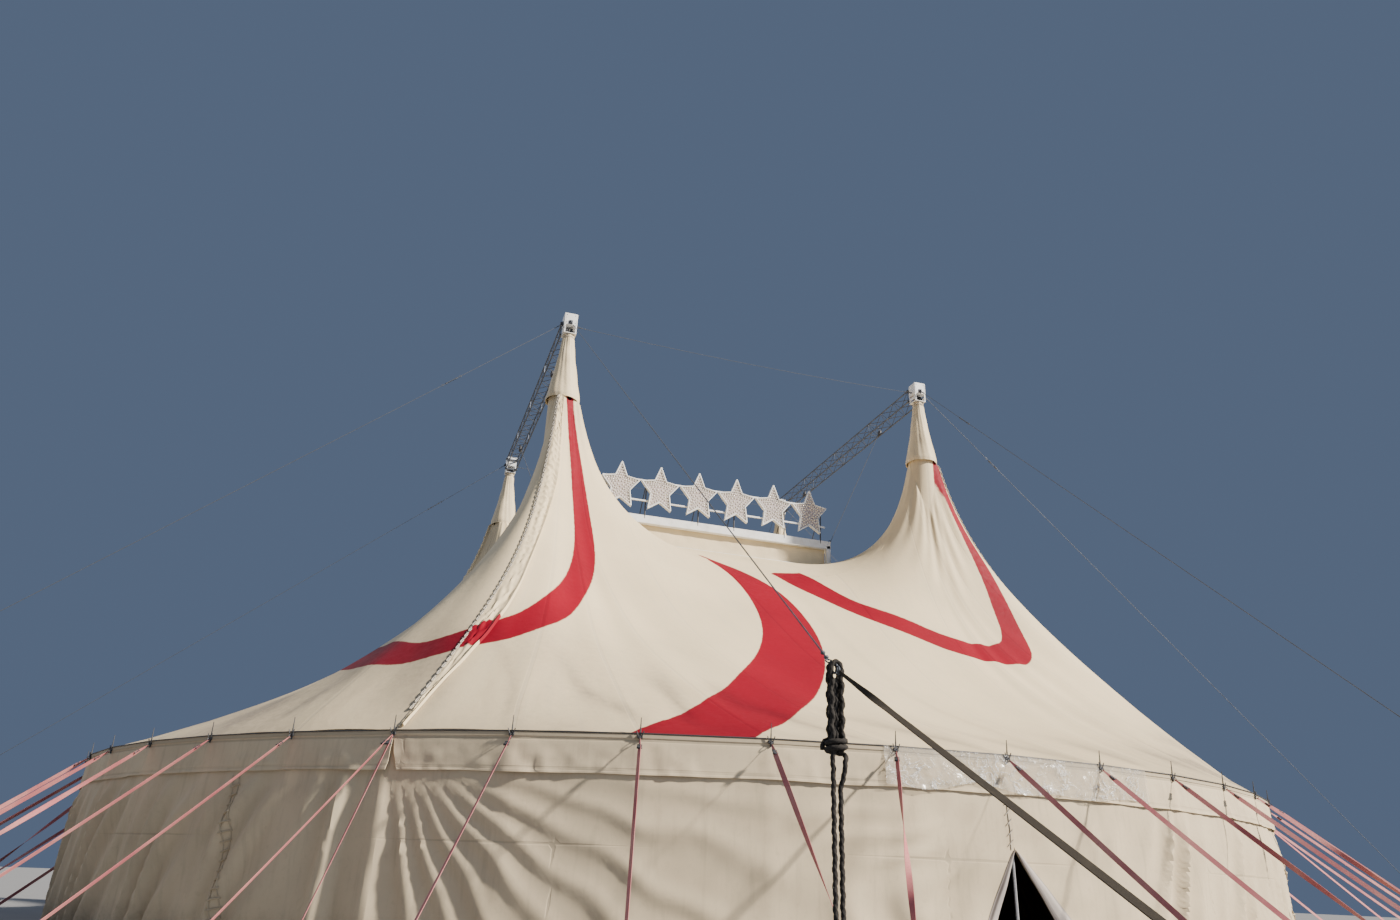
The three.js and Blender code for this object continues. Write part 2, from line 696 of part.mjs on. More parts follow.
// Trusses between the left pair and the right pair of mast heads
function trussBody() {
  const end = MAST_OFFSET - HEAD_SIZE / 2 - GAP;
  const half = (TRUSS_SIZE - TRUSS_CHORD) / 2;
  const laced = end - LACE_START;
  const plate = TRUSS_SIZE + TRUSS_PLATE;
  const pieces = [];
  const corner = (sx, sz, y) => point(sx * half, y, TRUSS_HEIGHT + sz * half);
  const faces = [
    [-1, -1, 1, -1],
    [1, -1, 1, 1],
    [1, 1, -1, 1],
    [-1, 1, -1, -1],
  ];
  for (const sx of [-1, 1]) {
    for (const sz of [-1, 1]) {
      pieces.push(bar(corner(sx, sz, 5 - end), corner(sx, sz, end - 5), TRUSS_CHORD, TRUSS_CHORD));
    }
  }
  for (const [ax, az, bx, bz] of faces) {
    for (let i = 0; i < TRUSS_BAYS; i++) {
      const from = -laced + (2 * laced * i) / TRUSS_BAYS + LACE_APART;
      const to = -laced + (2 * laced * (i + 1)) / TRUSS_BAYS - LACE_APART;
      const start = i % 2 ? corner(bx, bz, from) : corner(ax, az, from);
      const stop = i % 2 ? corner(ax, az, to) : corner(bx, bz, to);
      pieces.push(bar(start, stop, TRUSS_LACE, TRUSS_LACE));
    }
  }
  for (const side of [-1, 1]) {
    pieces.push(box(0, side * (end - TRUSS_PLATE / 2), TRUSS_HEIGHT, plate, TRUSS_PLATE, plate));
  }
  return fuse(pieces);
}

function addTrusses() {
  add("truss_left", trussBody().translate(-MAST_OFFSET, 0, 0), "galvanised");
  add("truss_right", trussBody().translate(MAST_OFFSET, 0, 0), "galvanised");
}

// Cupola: a square frame hung from the trusses, with the canvas middle on its base ring
function cupolaFrame() {
  const pieces = [];
  const base = CUPOLA_HALF - CUPOLA_LEG / 2;
  const baseHeight = CUPOLA_BASE - CUPOLA_LEG / 2 + 10;
  const beamHeight = CUPOLA_TOP - CUPOLA_BEAM / 2;
  const long = 2 * CUPOLA_HALF;
  const legs = beamHeight - baseHeight;
  const middle = (beamHeight + baseHeight) / 2;
  for (const side of [-1, 1]) {
    for (const [height, depth] of [[baseHeight, CUPOLA_LEG], [beamHeight, CUPOLA_BEAM]]) {
      pieces.push(box(0, side * base, height, long, CUPOLA_LEG, depth));
      pieces.push(box(side * base, 0, height, CUPOLA_LEG, long, depth));
    }
    pieces.push(box(base, side * base, middle, CUPOLA_LEG, CUPOLA_LEG, legs));
    pieces.push(box(-base, side * base, middle, CUPOLA_LEG, CUPOLA_LEG, legs));
    pieces.push(box(0, side * base, middle, CUPOLA_LEG / 2, CUPOLA_LEG / 2, legs));
    pieces.push(box(side * base, 0, middle, CUPOLA_LEG / 2, CUPOLA_LEG / 2, legs));
  }
  for (const [, sx, sy] of MASTS) {
    const foot = point(sx * (CUPOLA_HALF - 15), sy * (CUPOLA_HALF - 15), CUPOLA_TOP - 30);
    const head = point(sx * MAST_OFFSET, sy * HOIST_PLACE, TRUSS_HEIGHT - TRUSS_SIZE / 2 - 3);
    pieces.push(rod(foot, head, CABLE_RADIUS));
  }
  return fuse(pieces);
}

function squareTube(half, height) {
  return new THREE.CylinderGeometry(half * Math.SQRT2, half * Math.SQRT2, height, 4)
    .rotateY(Math.PI / 4)
    .rotateX(Math.PI / 2);
}

function pyramid(half, height) {
  return new THREE.ConeGeometry(half * Math.SQRT2, height, 4).rotateY(Math.PI / 4).rotateX(Math.PI / 2);
}

// A low hipped cover of canvas on the top beams
function cupolaRoof() {
  const rise = CUPOLA_PEAK - CUPOLA_TOP;
  const half = CUPOLA_HALF - CUPOLA_LEG + 20;
  const outer = solid(pyramid(half, rise).translate(0, 0, CUPOLA_TOP + GAP + rise / 2));
  const inner = solid(pyramid(half - 100, rise - 20).translate(0, 0, CUPOLA_TOP + rise / 2 - 20));
  return geometryOf(outer.subtract(inner));
}

// The canvas skirt between the top beams and the base ring, inside the legs
function cupolaSkirt() {
  const half = CUPOLA_HALF - CUPOLA_LEG - GAP;
  const height = CUPOLA_TOP - CUPOLA_BASE - SKIRT_CLEAR;
  const middle = (CUPOLA_TOP + CUPOLA_BASE) / 2;
  const outer = solid(squareTube(half, height).translate(0, 0, middle));
  const inner = solid(squareTube(half - WALL, height + 2 * SKIRT_CLEAR).translate(0, 0, middle));
  return geometryOf(outer.subtract(inner));
}

function addCupola() {
  add("cupola_frame", cupolaFrame(), "white");
  add("cupola_skirt", cupolaSkirt(), "canvas");
  add("cupola_roof", cupolaRoof(), "canvas");
}

// Sign: a row of plain stars on two rails, braced back to the cupola's front beam
function starShape(width, height) {
  const shape = new THREE.Shape();
  for (let i = 0; i < 10; i++) {
    const angle = Math.PI / 2 + (i * Math.PI) / 5;
    const reach = i % 2 ? 0.5 : 1;
    const x = (Math.cos(angle) * reach * width) / (2 * Math.cos(Math.PI / 10));
    const y = ((Math.sin(angle) * reach - 0.095) * height) / 1.81;
    if (i === 0) shape.moveTo(x, y);
    else shape.lineTo(x, y);
  }
  shape.closePath();
  return shape;
}

function addSign() {
  const front = -CUPOLA_HALF - GAP;
  const pitch = (SIGN_RIGHT - SIGN_LEFT) / SIGN_COUNT;
  const height = SIGN_TOP - SIGN_BOTTOM;
  const middle = (SIGN_LEFT + SIGN_RIGHT) / 2;
  const length = SIGN_RIGHT - SIGN_LEFT - 60;
  const pieces = [];
  for (let i = 0; i < SIGN_COUNT; i++) {
    const star = new THREE.ExtrudeGeometry(starShape(pitch - 30, height), {
      depth: SIGN_THICK,
      bevelEnabled: false,
    });
    star.rotateX(Math.PI / 2);
    const x = SIGN_LEFT + pitch * (i + 0.5);
    pieces.push(star.translate(x, front, (SIGN_TOP + SIGN_BOTTOM) / 2));
  }
  for (const z of [SIGN_BOTTOM + RAIL_LOW, SIGN_TOP - RAIL_HIGH]) {
    pieces.push(box(middle, front - RAIL / 2, z, length, RAIL, RAIL));
  }
  const postFoot = CUPOLA_TOP - 80;
  const postHead = SIGN_TOP - RAIL_HIGH;
  for (const side of [-1, 1]) {
    const place = middle + side * (length / 2 - 250);
    pieces.push(box(place, front - RAIL / 2, (postFoot + postHead) / 2, RAIL, RAIL, postHead - postFoot));
  }
  add("sign", fuse(pieces), "white");
}

// Mast guys: a wire from each head's outer face to an anchor, with a turnbuckle near its top
function guyBody(mastX, mastY, outX, outY, reach) {
  const start = HEAD_SIZE / 2 + GAP + GUY_PLATE / 2;
  const top = point(mastX + outX * start, mastY + outY * start, HEAD_HEIGHT - GUY_DROP);
  const foot = point(mastX + outX * reach, mastY + outY * reach, 0);
  const end = foot.clone().setZ(ANCHOR_HEIGHT / 2);
  const wideX = outX ? GUY_PLATE : GUY_PLATE_WIDE;
  const wideY = outY ? GUY_PLATE : GUY_PLATE_WIDE;
  const along = end.clone().sub(top).normalize();
  const buckle = top.clone().addScaledVector(along, TURNBUCKLE_PLACE);
  return fuse([
    rod(top, end, CABLE_RADIUS),
    box(top.x, top.y, top.z, wideX, wideY, GUY_PLATE_HIGH),
    rod(buckle, buckle.clone().addScaledVector(along, TURNBUCKLE_LENGTH), TURNBUCKLE_RADIUS),
    box(foot.x, foot.y, ANCHOR_HEIGHT / 2, ANCHOR_SIZE, ANCHOR_SIZE, ANCHOR_HEIGHT),
  ]);
}

// A guy with a wide strap below a joint plate
function strappedGuyBody(mastX, mastY, outY) {
  const start = HEAD_SIZE / 2 + GAP + GUY_PLATE / 2;
  const top = point(mastX, mastY + outY * start, HEAD_HEIGHT - GUY_DROP);
  const joint = point(mastX, mastY + outY * JOINT_REACH, JOINT_HEIGHT);
  const foot = point(mastX, mastY + outY * ANCHOR_REACH, 0);
  const along = joint.clone().sub(top).normalize();
  const strapFoot = foot.clone().setZ(ANCHOR_STRAP_FOOT);
  const down = strapFoot.clone().sub(joint).normalize();
  const strapHead = joint.clone().addScaledVector(down, 20);
  return fuse([
    rod(top, joint.clone().addScaledVector(along, -20), CABLE_RADIUS),
    box(top.x, top.y, top.z, GUY_PLATE_WIDE, GUY_PLATE, GUY_PLATE_HIGH),
    box(joint.x, joint.y, joint.z, 20, JOINT_SIZE, JOINT_SIZE),
    bar(strapHead, strapFoot, ANCHOR_STRAP_WIDTH, STRAP_THICK),
    box(foot.x, foot.y, ANCHOR_HEIGHT / 2, ANCHOR_SIZE, ANCHOR_SIZE, ANCHOR_HEIGHT),
  ]);
}

function addGuys() {
  const m = MAST_OFFSET;
  const pairs = [
    ["mast_guy_front_left", "mast_guy_rear_right", strappedGuyBody(-m, -m, -1)],
    ["mast_guy_front_right", "mast_guy_rear_left", guyBody(m, -m, 0, -1, FRONT_GUY_REACH)],
    ["side_guy_front_left", "side_guy_rear_right", guyBody(-m, -m, -1, 0, SIDE_GUY_REACH)],
    ["side_guy_front_right", "side_guy_rear_left", guyBody(m, -m, 1, 0, SIDE_GUY_REACH)],
  ];
  for (const [front, rear, geometry] of pairs) {
    add(front, geometry, "steel");
    add(rear, geometry.clone().rotateZ(Math.PI), "steel");
  }
}

// Cables between the heads across the front and the rear
function headCable(y) {
  const end = MAST_OFFSET - HEAD_SIZE / 2 - GAP;
  const height = HEAD_HEIGHT - HEAD_CABLE_DROP;
  const middle = point(0, y, height - 2 * HEAD_CABLE_SAG);
  const curve = new THREE.QuadraticBezierCurve3(point(-end, y, height), middle, point(end, y, height));
  const section = new THREE.Shape();
  section.absarc(0, 0, CABLE_RADIUS, 0, 2 * Math.PI, false);
  return new THREE.ExtrudeGeometry(section, { steps: 8, curveSegments: 6, extrudePath: curve });
}

function addHeadCables() {
  add("head_cable_front", headCable(-MAST_OFFSET), "steel");
  add("head_cable_rear", headCable(MAST_OFFSET), "steel");
}

// The hank of rope that hangs from the joint plate of the front left guy
function addHank() {
  const top = JOINT_HEIGHT - JOINT_SIZE / 2 - GAP;
  const half = HANK_WIDTH / 2;
  const outline = new THREE.Shape();
  outline.absarc(0, top - half, half, 0, Math.PI, false);
  outline.absarc(0, top - HANK_LENGTH + half, half, Math.PI, 2 * Math.PI, false);
  outline.closePath();
  const settings = { depth: HANK_THICK, bevelEnabled: false, curveSegments: 8 };
  const hank = new THREE.ExtrudeGeometry(outline, settings);
  hank.rotateX(Math.PI / 2).translate(-MAST_OFFSET, -MAST_OFFSET - JOINT_REACH + HANK_THICK / 2, 0);
  add("rope_hank", hank, "rope");
}

addMasts();
addCanopy();
addWalls();
addFlap();
addValance();
addPoles();
addStraps();
addTrusses();
addCupola();
addSign();
addGuys();
addHeadCables();
addHank();

export default tent;
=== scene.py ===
"""Circus big top tent, dressed around its frame. Metres, +Z up, and -Y is the front."""
import itertools
import math

import bpy
import numpy as np
from mathutils import Matrix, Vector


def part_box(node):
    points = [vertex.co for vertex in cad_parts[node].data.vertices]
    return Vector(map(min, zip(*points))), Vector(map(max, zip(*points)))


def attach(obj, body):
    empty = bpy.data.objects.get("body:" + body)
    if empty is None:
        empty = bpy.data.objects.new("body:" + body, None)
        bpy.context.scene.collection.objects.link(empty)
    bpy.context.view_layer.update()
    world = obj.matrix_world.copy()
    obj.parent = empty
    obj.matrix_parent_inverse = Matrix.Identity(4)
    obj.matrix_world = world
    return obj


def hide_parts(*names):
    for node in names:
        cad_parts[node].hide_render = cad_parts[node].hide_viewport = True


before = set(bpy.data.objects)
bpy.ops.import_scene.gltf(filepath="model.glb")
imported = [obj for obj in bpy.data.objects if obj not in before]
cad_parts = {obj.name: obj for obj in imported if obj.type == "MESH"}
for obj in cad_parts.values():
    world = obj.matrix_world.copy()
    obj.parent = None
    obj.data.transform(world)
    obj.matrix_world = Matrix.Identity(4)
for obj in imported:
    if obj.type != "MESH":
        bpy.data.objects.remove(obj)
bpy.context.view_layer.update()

# Driving sizes in metres and degrees, from the frame where it has them
MAST = 0.5 * (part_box("mast_front_right")[0][0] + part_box("mast_front_right")[1][0])
EAVE_RADIUS = 9.0
EAVE = 2.06
BAYS = 48
QUARTER = BAYS // 4
BAY_WIDE = 2 * EAVE_RADIUS * math.sin(math.pi / BAYS)
BAY_CLOTH = 1.178
SECTION_LENGTH = 8.5
SEAM_ANGLE = -124.7
COLLAR_RADIUS = 0.215
COLLAR_HEIGHT = 7.9
COLLAR_DEPTH = 0.08
CAP_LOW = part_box("mast_cap_front_left")[0][2]
CAP_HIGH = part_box("mast_cap_front_left")[1][2]
CAP_BASE_RADIUS = 0.29
CAP_TOP_RADIUS = 0.1
CAP_CURVE = 1.3
HEAD_HEIGHT = 9.26
HEAD_SIZE = 0.215
HEAD_FOOT = 9.0
WALL_TOP = 2.04
VALANCE_DEPTH = 0.355
DOOR_BAY = 5
DOOR_HEIGHT = 1.22
DOOR_LEFT = 0.42
DOOR_RIGHT = 0.7
CUPOLA_HALF = 2.02
CUPOLA_BASE = 6.06
CUPOLA_TOP = 6.55
CUPOLA_PEAK = 6.8
TRUSS_HEIGHT = 9.18
TRUSS_SIZE = 0.25
HOIST_PLACE = 1.78
SPIKE_PLACE = 9.0216
BOLT_ROPE_RADIUS = 9.021
BELT_RADIUS = 9.0175
BELT_BOTTOM = 2.02
BELT_WIDTH = 0.03
CLEARANCE = 0.0003
STRAP_REACH = 2.4
STRAP_TURNS = [0, 3, 4, 6, -22, 10, 4, 0, 0, 0, 0, -3]
SEAM_STRAP_TURN = 20
SIGN_LEFT = -2.27
SIGN_RIGHT = 1.93
SIGN_BOTTOM = 6.65
SIGN_TOP = 7.45
SIGN_COUNT = 6
MASTS = [(-1, -1), (1, -1), (1, 1), (-1, 1)]
MAST_NAMES = ["front_left", "front_right", "rear_right", "rear_left"]
SIDES = ["front", "right", "rear", "left"]

# The roof's height, as the frame has it
CONE_LOG = 1.38
CONE_LINE = 0.3
LIFT = 2.1
LIFT_RADIUS = 4.36
SEAM_LIFT = 0.59
SEAM_WIDTH = 0.45
LEANS = [(-60, 54, -0.72), (28, 23, 0.48), (125, 40, 0.33)]

# Canvas columns of a section: round one mast, along the ridge, round the next mast
ARC_LEFT = 6
RIDGE = 9
ARC_RIGHT = 9
COLUMNS = ARC_LEFT + RIDGE + ARC_RIGHT


# Points and fields
def stacked(*parts):
    """Points from their coordinates, which may be single numbers or arrays that fit together."""
    return np.stack(np.broadcast_arrays(*parts), axis=-1).astype(float)


def unit(vector):
    vector = np.asarray(vector, float)
    return vector / np.maximum(np.linalg.norm(vector, axis=-1, keepdims=True), 1e-12)


def lengths_along(path):
    """How far each point of a path lies from its start."""
    return np.concatenate([[0], np.cumsum(np.linalg.norm(np.diff(path, axis=0), axis=-1))])


def polar(radius, degrees):
    angle = np.radians(degrees)
    return stacked(radius * np.cos(angle), radius * np.sin(angle))


def turned(points, quarters):
    """Points turned about the tent's axis by quarter turns."""
    angle = quarters * math.pi / 2
    c, s = round(math.cos(angle)), round(math.sin(angle))
    points = np.array(points, float)
    x, y = points[..., 0].copy(), points[..., 1].copy()
    points[..., 0] = c * x - s * y
    points[..., 1] = s * x + c * y
    return points


SEAM_FOOT = polar(EAVE_RADIUS, SEAM_ANGLE)
SEAM_AZIMUTH = math.degrees(math.atan2(SEAM_FOOT[1] + MAST, SEAM_FOOT[0] + MAST))


def bay_azimuth(bay):
    return SEAM_ANGLE + bay * 360 / BAYS


def bay_point(radius, bays):
    """Plan points on the eave polygon, counted in bays from the front left seam."""
    bays = np.asarray(bays, float)
    bay = np.floor(bays + 1e-9)
    start = polar(radius, bay_azimuth(bay))
    end = polar(radius, bay_azimuth(bay + 1))
    share = (bays - bay)[..., None]
    return start * (1 - share) + end * share


def bell(value, width):
    return np.exp(-((value / width) ** 2))


def smooth(value, low, high):
    """A ramp from 0 at low to 1 at high, eased at both ends."""
    share = np.clip((value - low) / (high - low), 0, 1)
    return share * share * (3 - 2 * share)


def waves(u, v, seed, size, count=24):
    """Smooth seeded noise from -1 to 1 with bumps about as wide as size."""
    draw = np.random.default_rng(seed)
    total = np.zeros(np.broadcast(u, v).shape)
    for _ in range(count):
        heading = draw.uniform(0, math.pi)
        pitch = 2 * math.pi / (size * draw.uniform(0.7, 1.8))
        shift = draw.uniform(0, 2 * math.pi)
        total = total + np.cos(pitch * (u * math.cos(heading) + v * math.sin(heading)) + shift)
    return total / math.sqrt(count)


def mast_reach(x, y):
    return np.min([np.hypot(x - sx * MAST, y - sy * MAST) for sx, sy in MASTS], axis=0)


def roof_height(x, y):
    """Four cones joined over the masts, with a raised middle, seams and leans."""
    cones = 0
    rise = 0
    seam_turn = math.radians(SEAM_AZIMUTH + 135)
    for sx, sy in MASTS:
        mx, my = sx * MAST, sy * MAST
        square = mx * mx + my * my
        mirror = EAVE_RADIUS**2 / square
        near = np.maximum(np.hypot(x - mx, y - my), 1e-3)
        far = np.hypot(x - mx * mirror, y - my * mirror)
        share = np.minimum(EAVE_RADIUS * near / (far * math.sqrt(square)), 1)
        cones = cones + (CONE_LOG * np.log(1 / share) + CONE_LINE * (1 - share)) ** 2
        dx, dy = x - mx, y - my
        turn = np.arctan2(mx * dy - my * dx, mx * dx + my * dy)
        by_seam = bell(turn_between(turn, seam_turn), SEAM_WIDTH)
        rise = rise + SEAM_LIFT * by_seam * np.sin(math.pi * share**0.7)
        for middle, width, height in LEANS:
            lean = bell(turn_between(turn, math.radians(middle)), math.radians(width))
            rise = rise + height * lean * np.sin(math.pi * share**0.2)
    centre = np.hypot(x, y)
    lift = LIFT * bell(centre, LIFT_RADIUS) * (1 - (centre / EAVE_RADIUS) ** 2)
    return EAVE + np.sqrt(cones) + lift + rise


def turn_between(turn, other):
    """The angle from one direction to another, between minus pi and pi."""
    return np.arctan2(np.sin(turn - other), np.cos(turn - other))


def canvas_height(x, y):
    """The roof's height, kept under the cone that fits inside the caps."""
    reach = mast_reach(x, y)
    ceiling = COLLAR_HEIGHT - COLLAR_DEPTH - (reach - COLLAR_RADIUS)
    height = roof_height(x, y)
    return np.where(reach < 1, np.minimum(height, ceiling), height)


# Meshes
class Builder:
    """Collects faces and makes one mesh object of them."""

    def __init__(self):
        self.points = []
        self.faces = []
        self.uvs = []
        self.values = {}
        self.count = 0

    def add(self, points, faces, uv=None, **values):
        """Adds faces and their points, with UVs and any named values, which are 0 where not given."""
        points = np.asarray(points, float).reshape(-1, 3)
        self.points.append(points)
        self.faces += [tuple(int(i) + self.count for i in face) for face in faces]
        if uv is None:
            uv = points[:, [0, 2]] + points[:, [1, 1]] * 0.37
        self.uvs.append(np.asarray(uv, float).reshape(-1, 2))
        for name in set(self.values) | set(values):
            if name not in self.values:
                self.values[name] = [np.zeros(self.count)]
            extra = values.get(name)
            extra = np.zeros(len(points)) if extra is None else np.broadcast_to(extra, (len(points),))
            self.values[name].append(np.asarray(extra, float).ravel())
        self.count += len(points)

    def make(self, name, material, slot, replaces=(), sharp=40):
        """Makes the object: its mesh, material and body, and hides the nodes that it replaces. The slot is
        not used.
        """
        mesh = bpy.data.meshes.new(name)
        mesh.from_pydata(np.concatenate(self.points).tolist(), [], self.faces)
        uv = np.concatenate(self.uvs)
        layer = mesh.uv_layers.new(name="UVMap")
        corner = np.empty(len(mesh.loops), int)
        mesh.loops.foreach_get("vertex_index", corner)
        layer.data.foreach_set("uv", uv[corner].ravel())
        for key, parts in self.values.items():
            attribute = mesh.attributes.new(key, "FLOAT", "POINT")
            attribute.data.foreach_set("value", np.concatenate(parts).astype(np.float32))
        mesh.polygons.foreach_set("use_smooth", [True] * len(mesh.polygons))
        if sharp:
            mesh.set_sharp_from_angle(angle=math.radians(sharp))
        mesh.materials.append(material)
        piece = bpy.data.objects.new(name, mesh)
        bpy.context.scene.collection.objects.link(piece)
        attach(piece, "root")
        if replaces:
            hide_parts(*replaces)
        return piece


def grid_faces(rows, columns, closed=False, start=0, flip=False):
    """Quads between the rows of a grid of points; a closed grid's last column joins its first."""
    faces = []
    last = columns if closed else columns - 1
    for r in range(rows - 1):
        for c in range(last):
            a, b = start + r * columns + c, start + r * columns + (c + 1) % columns
            quad = (a, a + columns, b + columns, b)
            faces.append(quad[::-1] if flip else quad)
    return faces


def grid_normals(grid, closed=False):
    down = np.gradient(grid, axis=0)
    if closed:
        along = np.roll(grid, -1, axis=1) - np.roll(grid, 1, axis=1)
    else:
        along = np.gradient(grid, axis=1)
    return unit(np.cross(down, along))


def add_sheet(builder, grid, thick, uv, closed=False, **values):
    """A closed sheet of cloth: the grid is its outer face, with the inner face set back."""
    rows, columns = grid.shape[:2]
    inner = grid - grid_normals(grid, closed) * thick
    size = rows * columns
    faces = grid_faces(rows, columns, closed)
    faces += grid_faces(rows, columns, closed, size, flip=True)
    last = columns if closed else columns - 1
    for r, turn in ((0, 1), (rows - 1, -1)):
        for c in range(last):
            a, b = r * columns + c, r * columns + (c + 1) % columns
            faces.append((a, b, b + size, a + size)[::turn])
    if not closed:
        for c, turn in ((0, -1), (columns - 1, 1)):
            for r in range(rows - 1):
                a = r * columns + c
                faces.append((a, a + columns, a + columns + size, a + size)[::turn])
    points = np.concatenate([grid.reshape(-1, 3), inner.reshape(-1, 3)])
    doubled = {key: np.concatenate([np.ravel(value)] * 2) for key, value in values.items()}
    builder.add(points, faces, np.concatenate([uv.reshape(-1, 2)] * 2), **doubled)


def frames_along(path, up):
    """Two directions across a path at each point, turning as little as they can."""
    ahead = unit(np.gradient(path, axis=0))
    up = np.array(up, float)
    if abs(ahead[0] @ up) > 0.95:
        up = np.array([1.0, 0, 0])
    across = unit(np.cross(up, ahead[0]))
    sides = []
    for direction in ahead:
        across = unit(across - direction * (across @ direction))
        sides.append(across)
    sides = np.array(sides)
    return sides, np.cross(ahead, sides)


def add_tube(builder, path, radius, sides=8, closed=False, up=(0, 0, 1), lobes=0, depth=0.12, twist=0.0):
    """A round bar along a path, with flat ends, or a laid rope if it has lobes."""
    path = np.asarray(path, float)
    rows = len(path)
    side, over = frames_along(path, up)
    angle = np.linspace(0, 2 * math.pi, sides, endpoint=False)
    along = lengths_along(path)[:, None]
    radius = np.broadcast_to(np.asarray(radius, float), (rows,))
    size = radius[:, None] * np.ones(sides)
    if lobes:
        size = size * (1 - depth * (0.5 + 0.5 * np.cos(lobes * (angle + twist * along))))
    ring = side[:, None] * np.cos(angle)[:, None] + over[:, None] * np.sin(angle)[:, None]
    faces = grid_faces(rows, sides, closed=True, flip=True)
    start = (rows - 1) * sides
    if closed:
        around = [(c, (c + 1) % sides) for c in range(sides)]
        faces += [(start + b, b, a, start + a) for a, b in around]
    else:
        faces += [tuple(range(sides))[::-1], tuple(range(start, start + sides))]
    uv = stacked(angle * float(radius.mean()), along)
    builder.add(path[:, None] + ring * size[..., None], faces, uv)


def add_ring(builder, centre, radius, thick, normal=(0, 0, 1), steps=20, sides=8):
    """A closed ring of round bar about a normal."""
    normal = unit(normal)
    helper = np.array([1.0, 0, 0]) if abs(normal[0]) < 0.9 else np.array([0, 1.0, 0])
    u = unit(np.cross(normal, helper))
    v = np.cross(normal, u)
    angle = np.linspace(0, 2 * math.pi, steps, endpoint=False)[:, None]
    outward = u * np.cos(angle) + v * np.sin(angle)
    turn = np.linspace(0, 2 * math.pi, sides, endpoint=False)[:, None]
    ring = outward[:, None] * (radius + thick * np.cos(turn)) + normal * (thick * np.sin(turn))
    faces = grid_faces(steps + 1, sides, closed=True)
    count = steps * sides
    builder.add(np.array(centre) + ring, [tuple(i % count for i in face) for face in faces])


def add_box(builder, centre, size, bevel, turn=None):
    """A box with bevelled edges: three points at each corner, one on each face that meets there."""
    half = np.array(size, float) / 2
    cut = min(bevel, 0.9 * half.min())
    signs = (-1, 1)
    points = []
    index = {}
    for corner in itertools.product(signs, repeat=3):
        for axis in range(3):
            index[(*corner, axis)] = len(points)
            points.append(np.array(corner) * (half - cut * (np.arange(3) != axis)))

    def at(axis, along, first, second, face):
        """A corner's point on one face, the corner given along the axis and across it."""
        place = [first, second]
        place.insert(axis, along)
        return index[(*place, face)]

    points = np.array(points)
    faces = []
    for axis in range(3):
        one, other = [a for a in range(3) if a != axis]
        around = ((-1, -1), (1, -1), (1, 1), (-1, 1))
        for sign in signs:
            faces.append([at(axis, sign, p, q, axis) for p, q in around])
        for p, q in itertools.product(signs, repeat=2):
            ends = [at(axis, -1, p, q, one), at(axis, 1, p, q, one)]
            faces.append([*ends, at(axis, 1, p, q, other), at(axis, -1, p, q, other)])
    for corner in itertools.product(signs, repeat=3):
        faces.append([index[(*corner, axis)] for axis in range(3)])
    faces = [outward_face(points, face) for face in faces]
    if turn is not None:
        points = points @ turn.T
    builder.add(points + np.array(centre, float), faces)


def outward_face(points, face):
    """A face of a shape round the origin, with its corners in the order that faces outward."""
    a, b, c = (points[i] for i in face[:3])
    middle = points[face].mean(axis=0)
    return face if np.cross(b - a, c - a) @ middle > 0 else face[::-1]


def turn_z(degrees):
    c, s = math.cos(math.radians(degrees)), math.sin(math.radians(degrees))
    return np.array([[c, -s, 0], [s, c, 0], [0, 0, 1]])


def basis(along):
    """A matrix whose first column runs along a line, for boxes and rings laid along it."""
    along = unit(along)
    across = unit(np.cross((0, 0, 1), along))
    return np.stack([along, across, np.cross(along, across)], axis=1)


def bar_faces(steps):
    """The faces of a four-sided bar, with its two ends."""
    ends = [(3, 2, 1, 0), tuple((steps - 1) * 4 + i for i in range(4))]
    return grid_faces(steps, 4, closed=True, flip=True) + ends


def webbing_strip(line, ahead, twist, half, thick, pitch):
    """The points, faces and UVs of a flat strip that turns about its line."""
    _, across, over = basis(ahead).T
    wide = across * np.cos(twist)[:, None] + over * np.sin(twist)[:, None]
    deep = np.cross(ahead, wide) * thick
    wide = wide * half[:, None]
    sides = [line + wide + deep, line - wide + deep, line - wide - deep, line + wide - deep]
    uv = stacked([0.0, 0.05, 0.05, 0.0], (np.linspace(0, 1, len(line)) * pitch)[:, None])
    return np.stack(sides, axis=1).reshape(-1, 3), bar_faces(len(line)), uv


def at_bay(points, bay):
    """Points given outward, sideways and upward from a bay's place on the eave polygon."""
    x, y = bay_point(SPIKE_PLACE, bay)
    return np.asarray(points, float) @ turn_z(bay_azimuth(bay)).T + np.array([x, y, 0])


def off_eave(radius, bays, lift, z):
    """Points that stand off the eave polygon, away from the tent's axis."""
    plan = bay_point(radius, bays)
    plan = plan + unit(plan) * lift[..., None]
    return stacked(plan[..., 0], plan[..., 1], z)


def curved(points, steps=5):
    """A smooth curve through given points."""
    points = np.asarray(points, float)
    padded = np.concatenate([[2 * points[0] - points[1]], points, [2 * points[-1] - points[-2]]])
    out = []
    for i in range(1, len(padded) - 2):
        a, b, c, d = padded[i - 1:i + 3]
        for t in np.arange(steps) / steps:
            out.append(0.5 * (2 * b + (c - a) * t + (2 * a - 5 * b + 4 * c - d) * t * t
                              + (3 * b - a - 3 * c + d) * t**3))
    out.append(points[-1])
    return np.array(out)


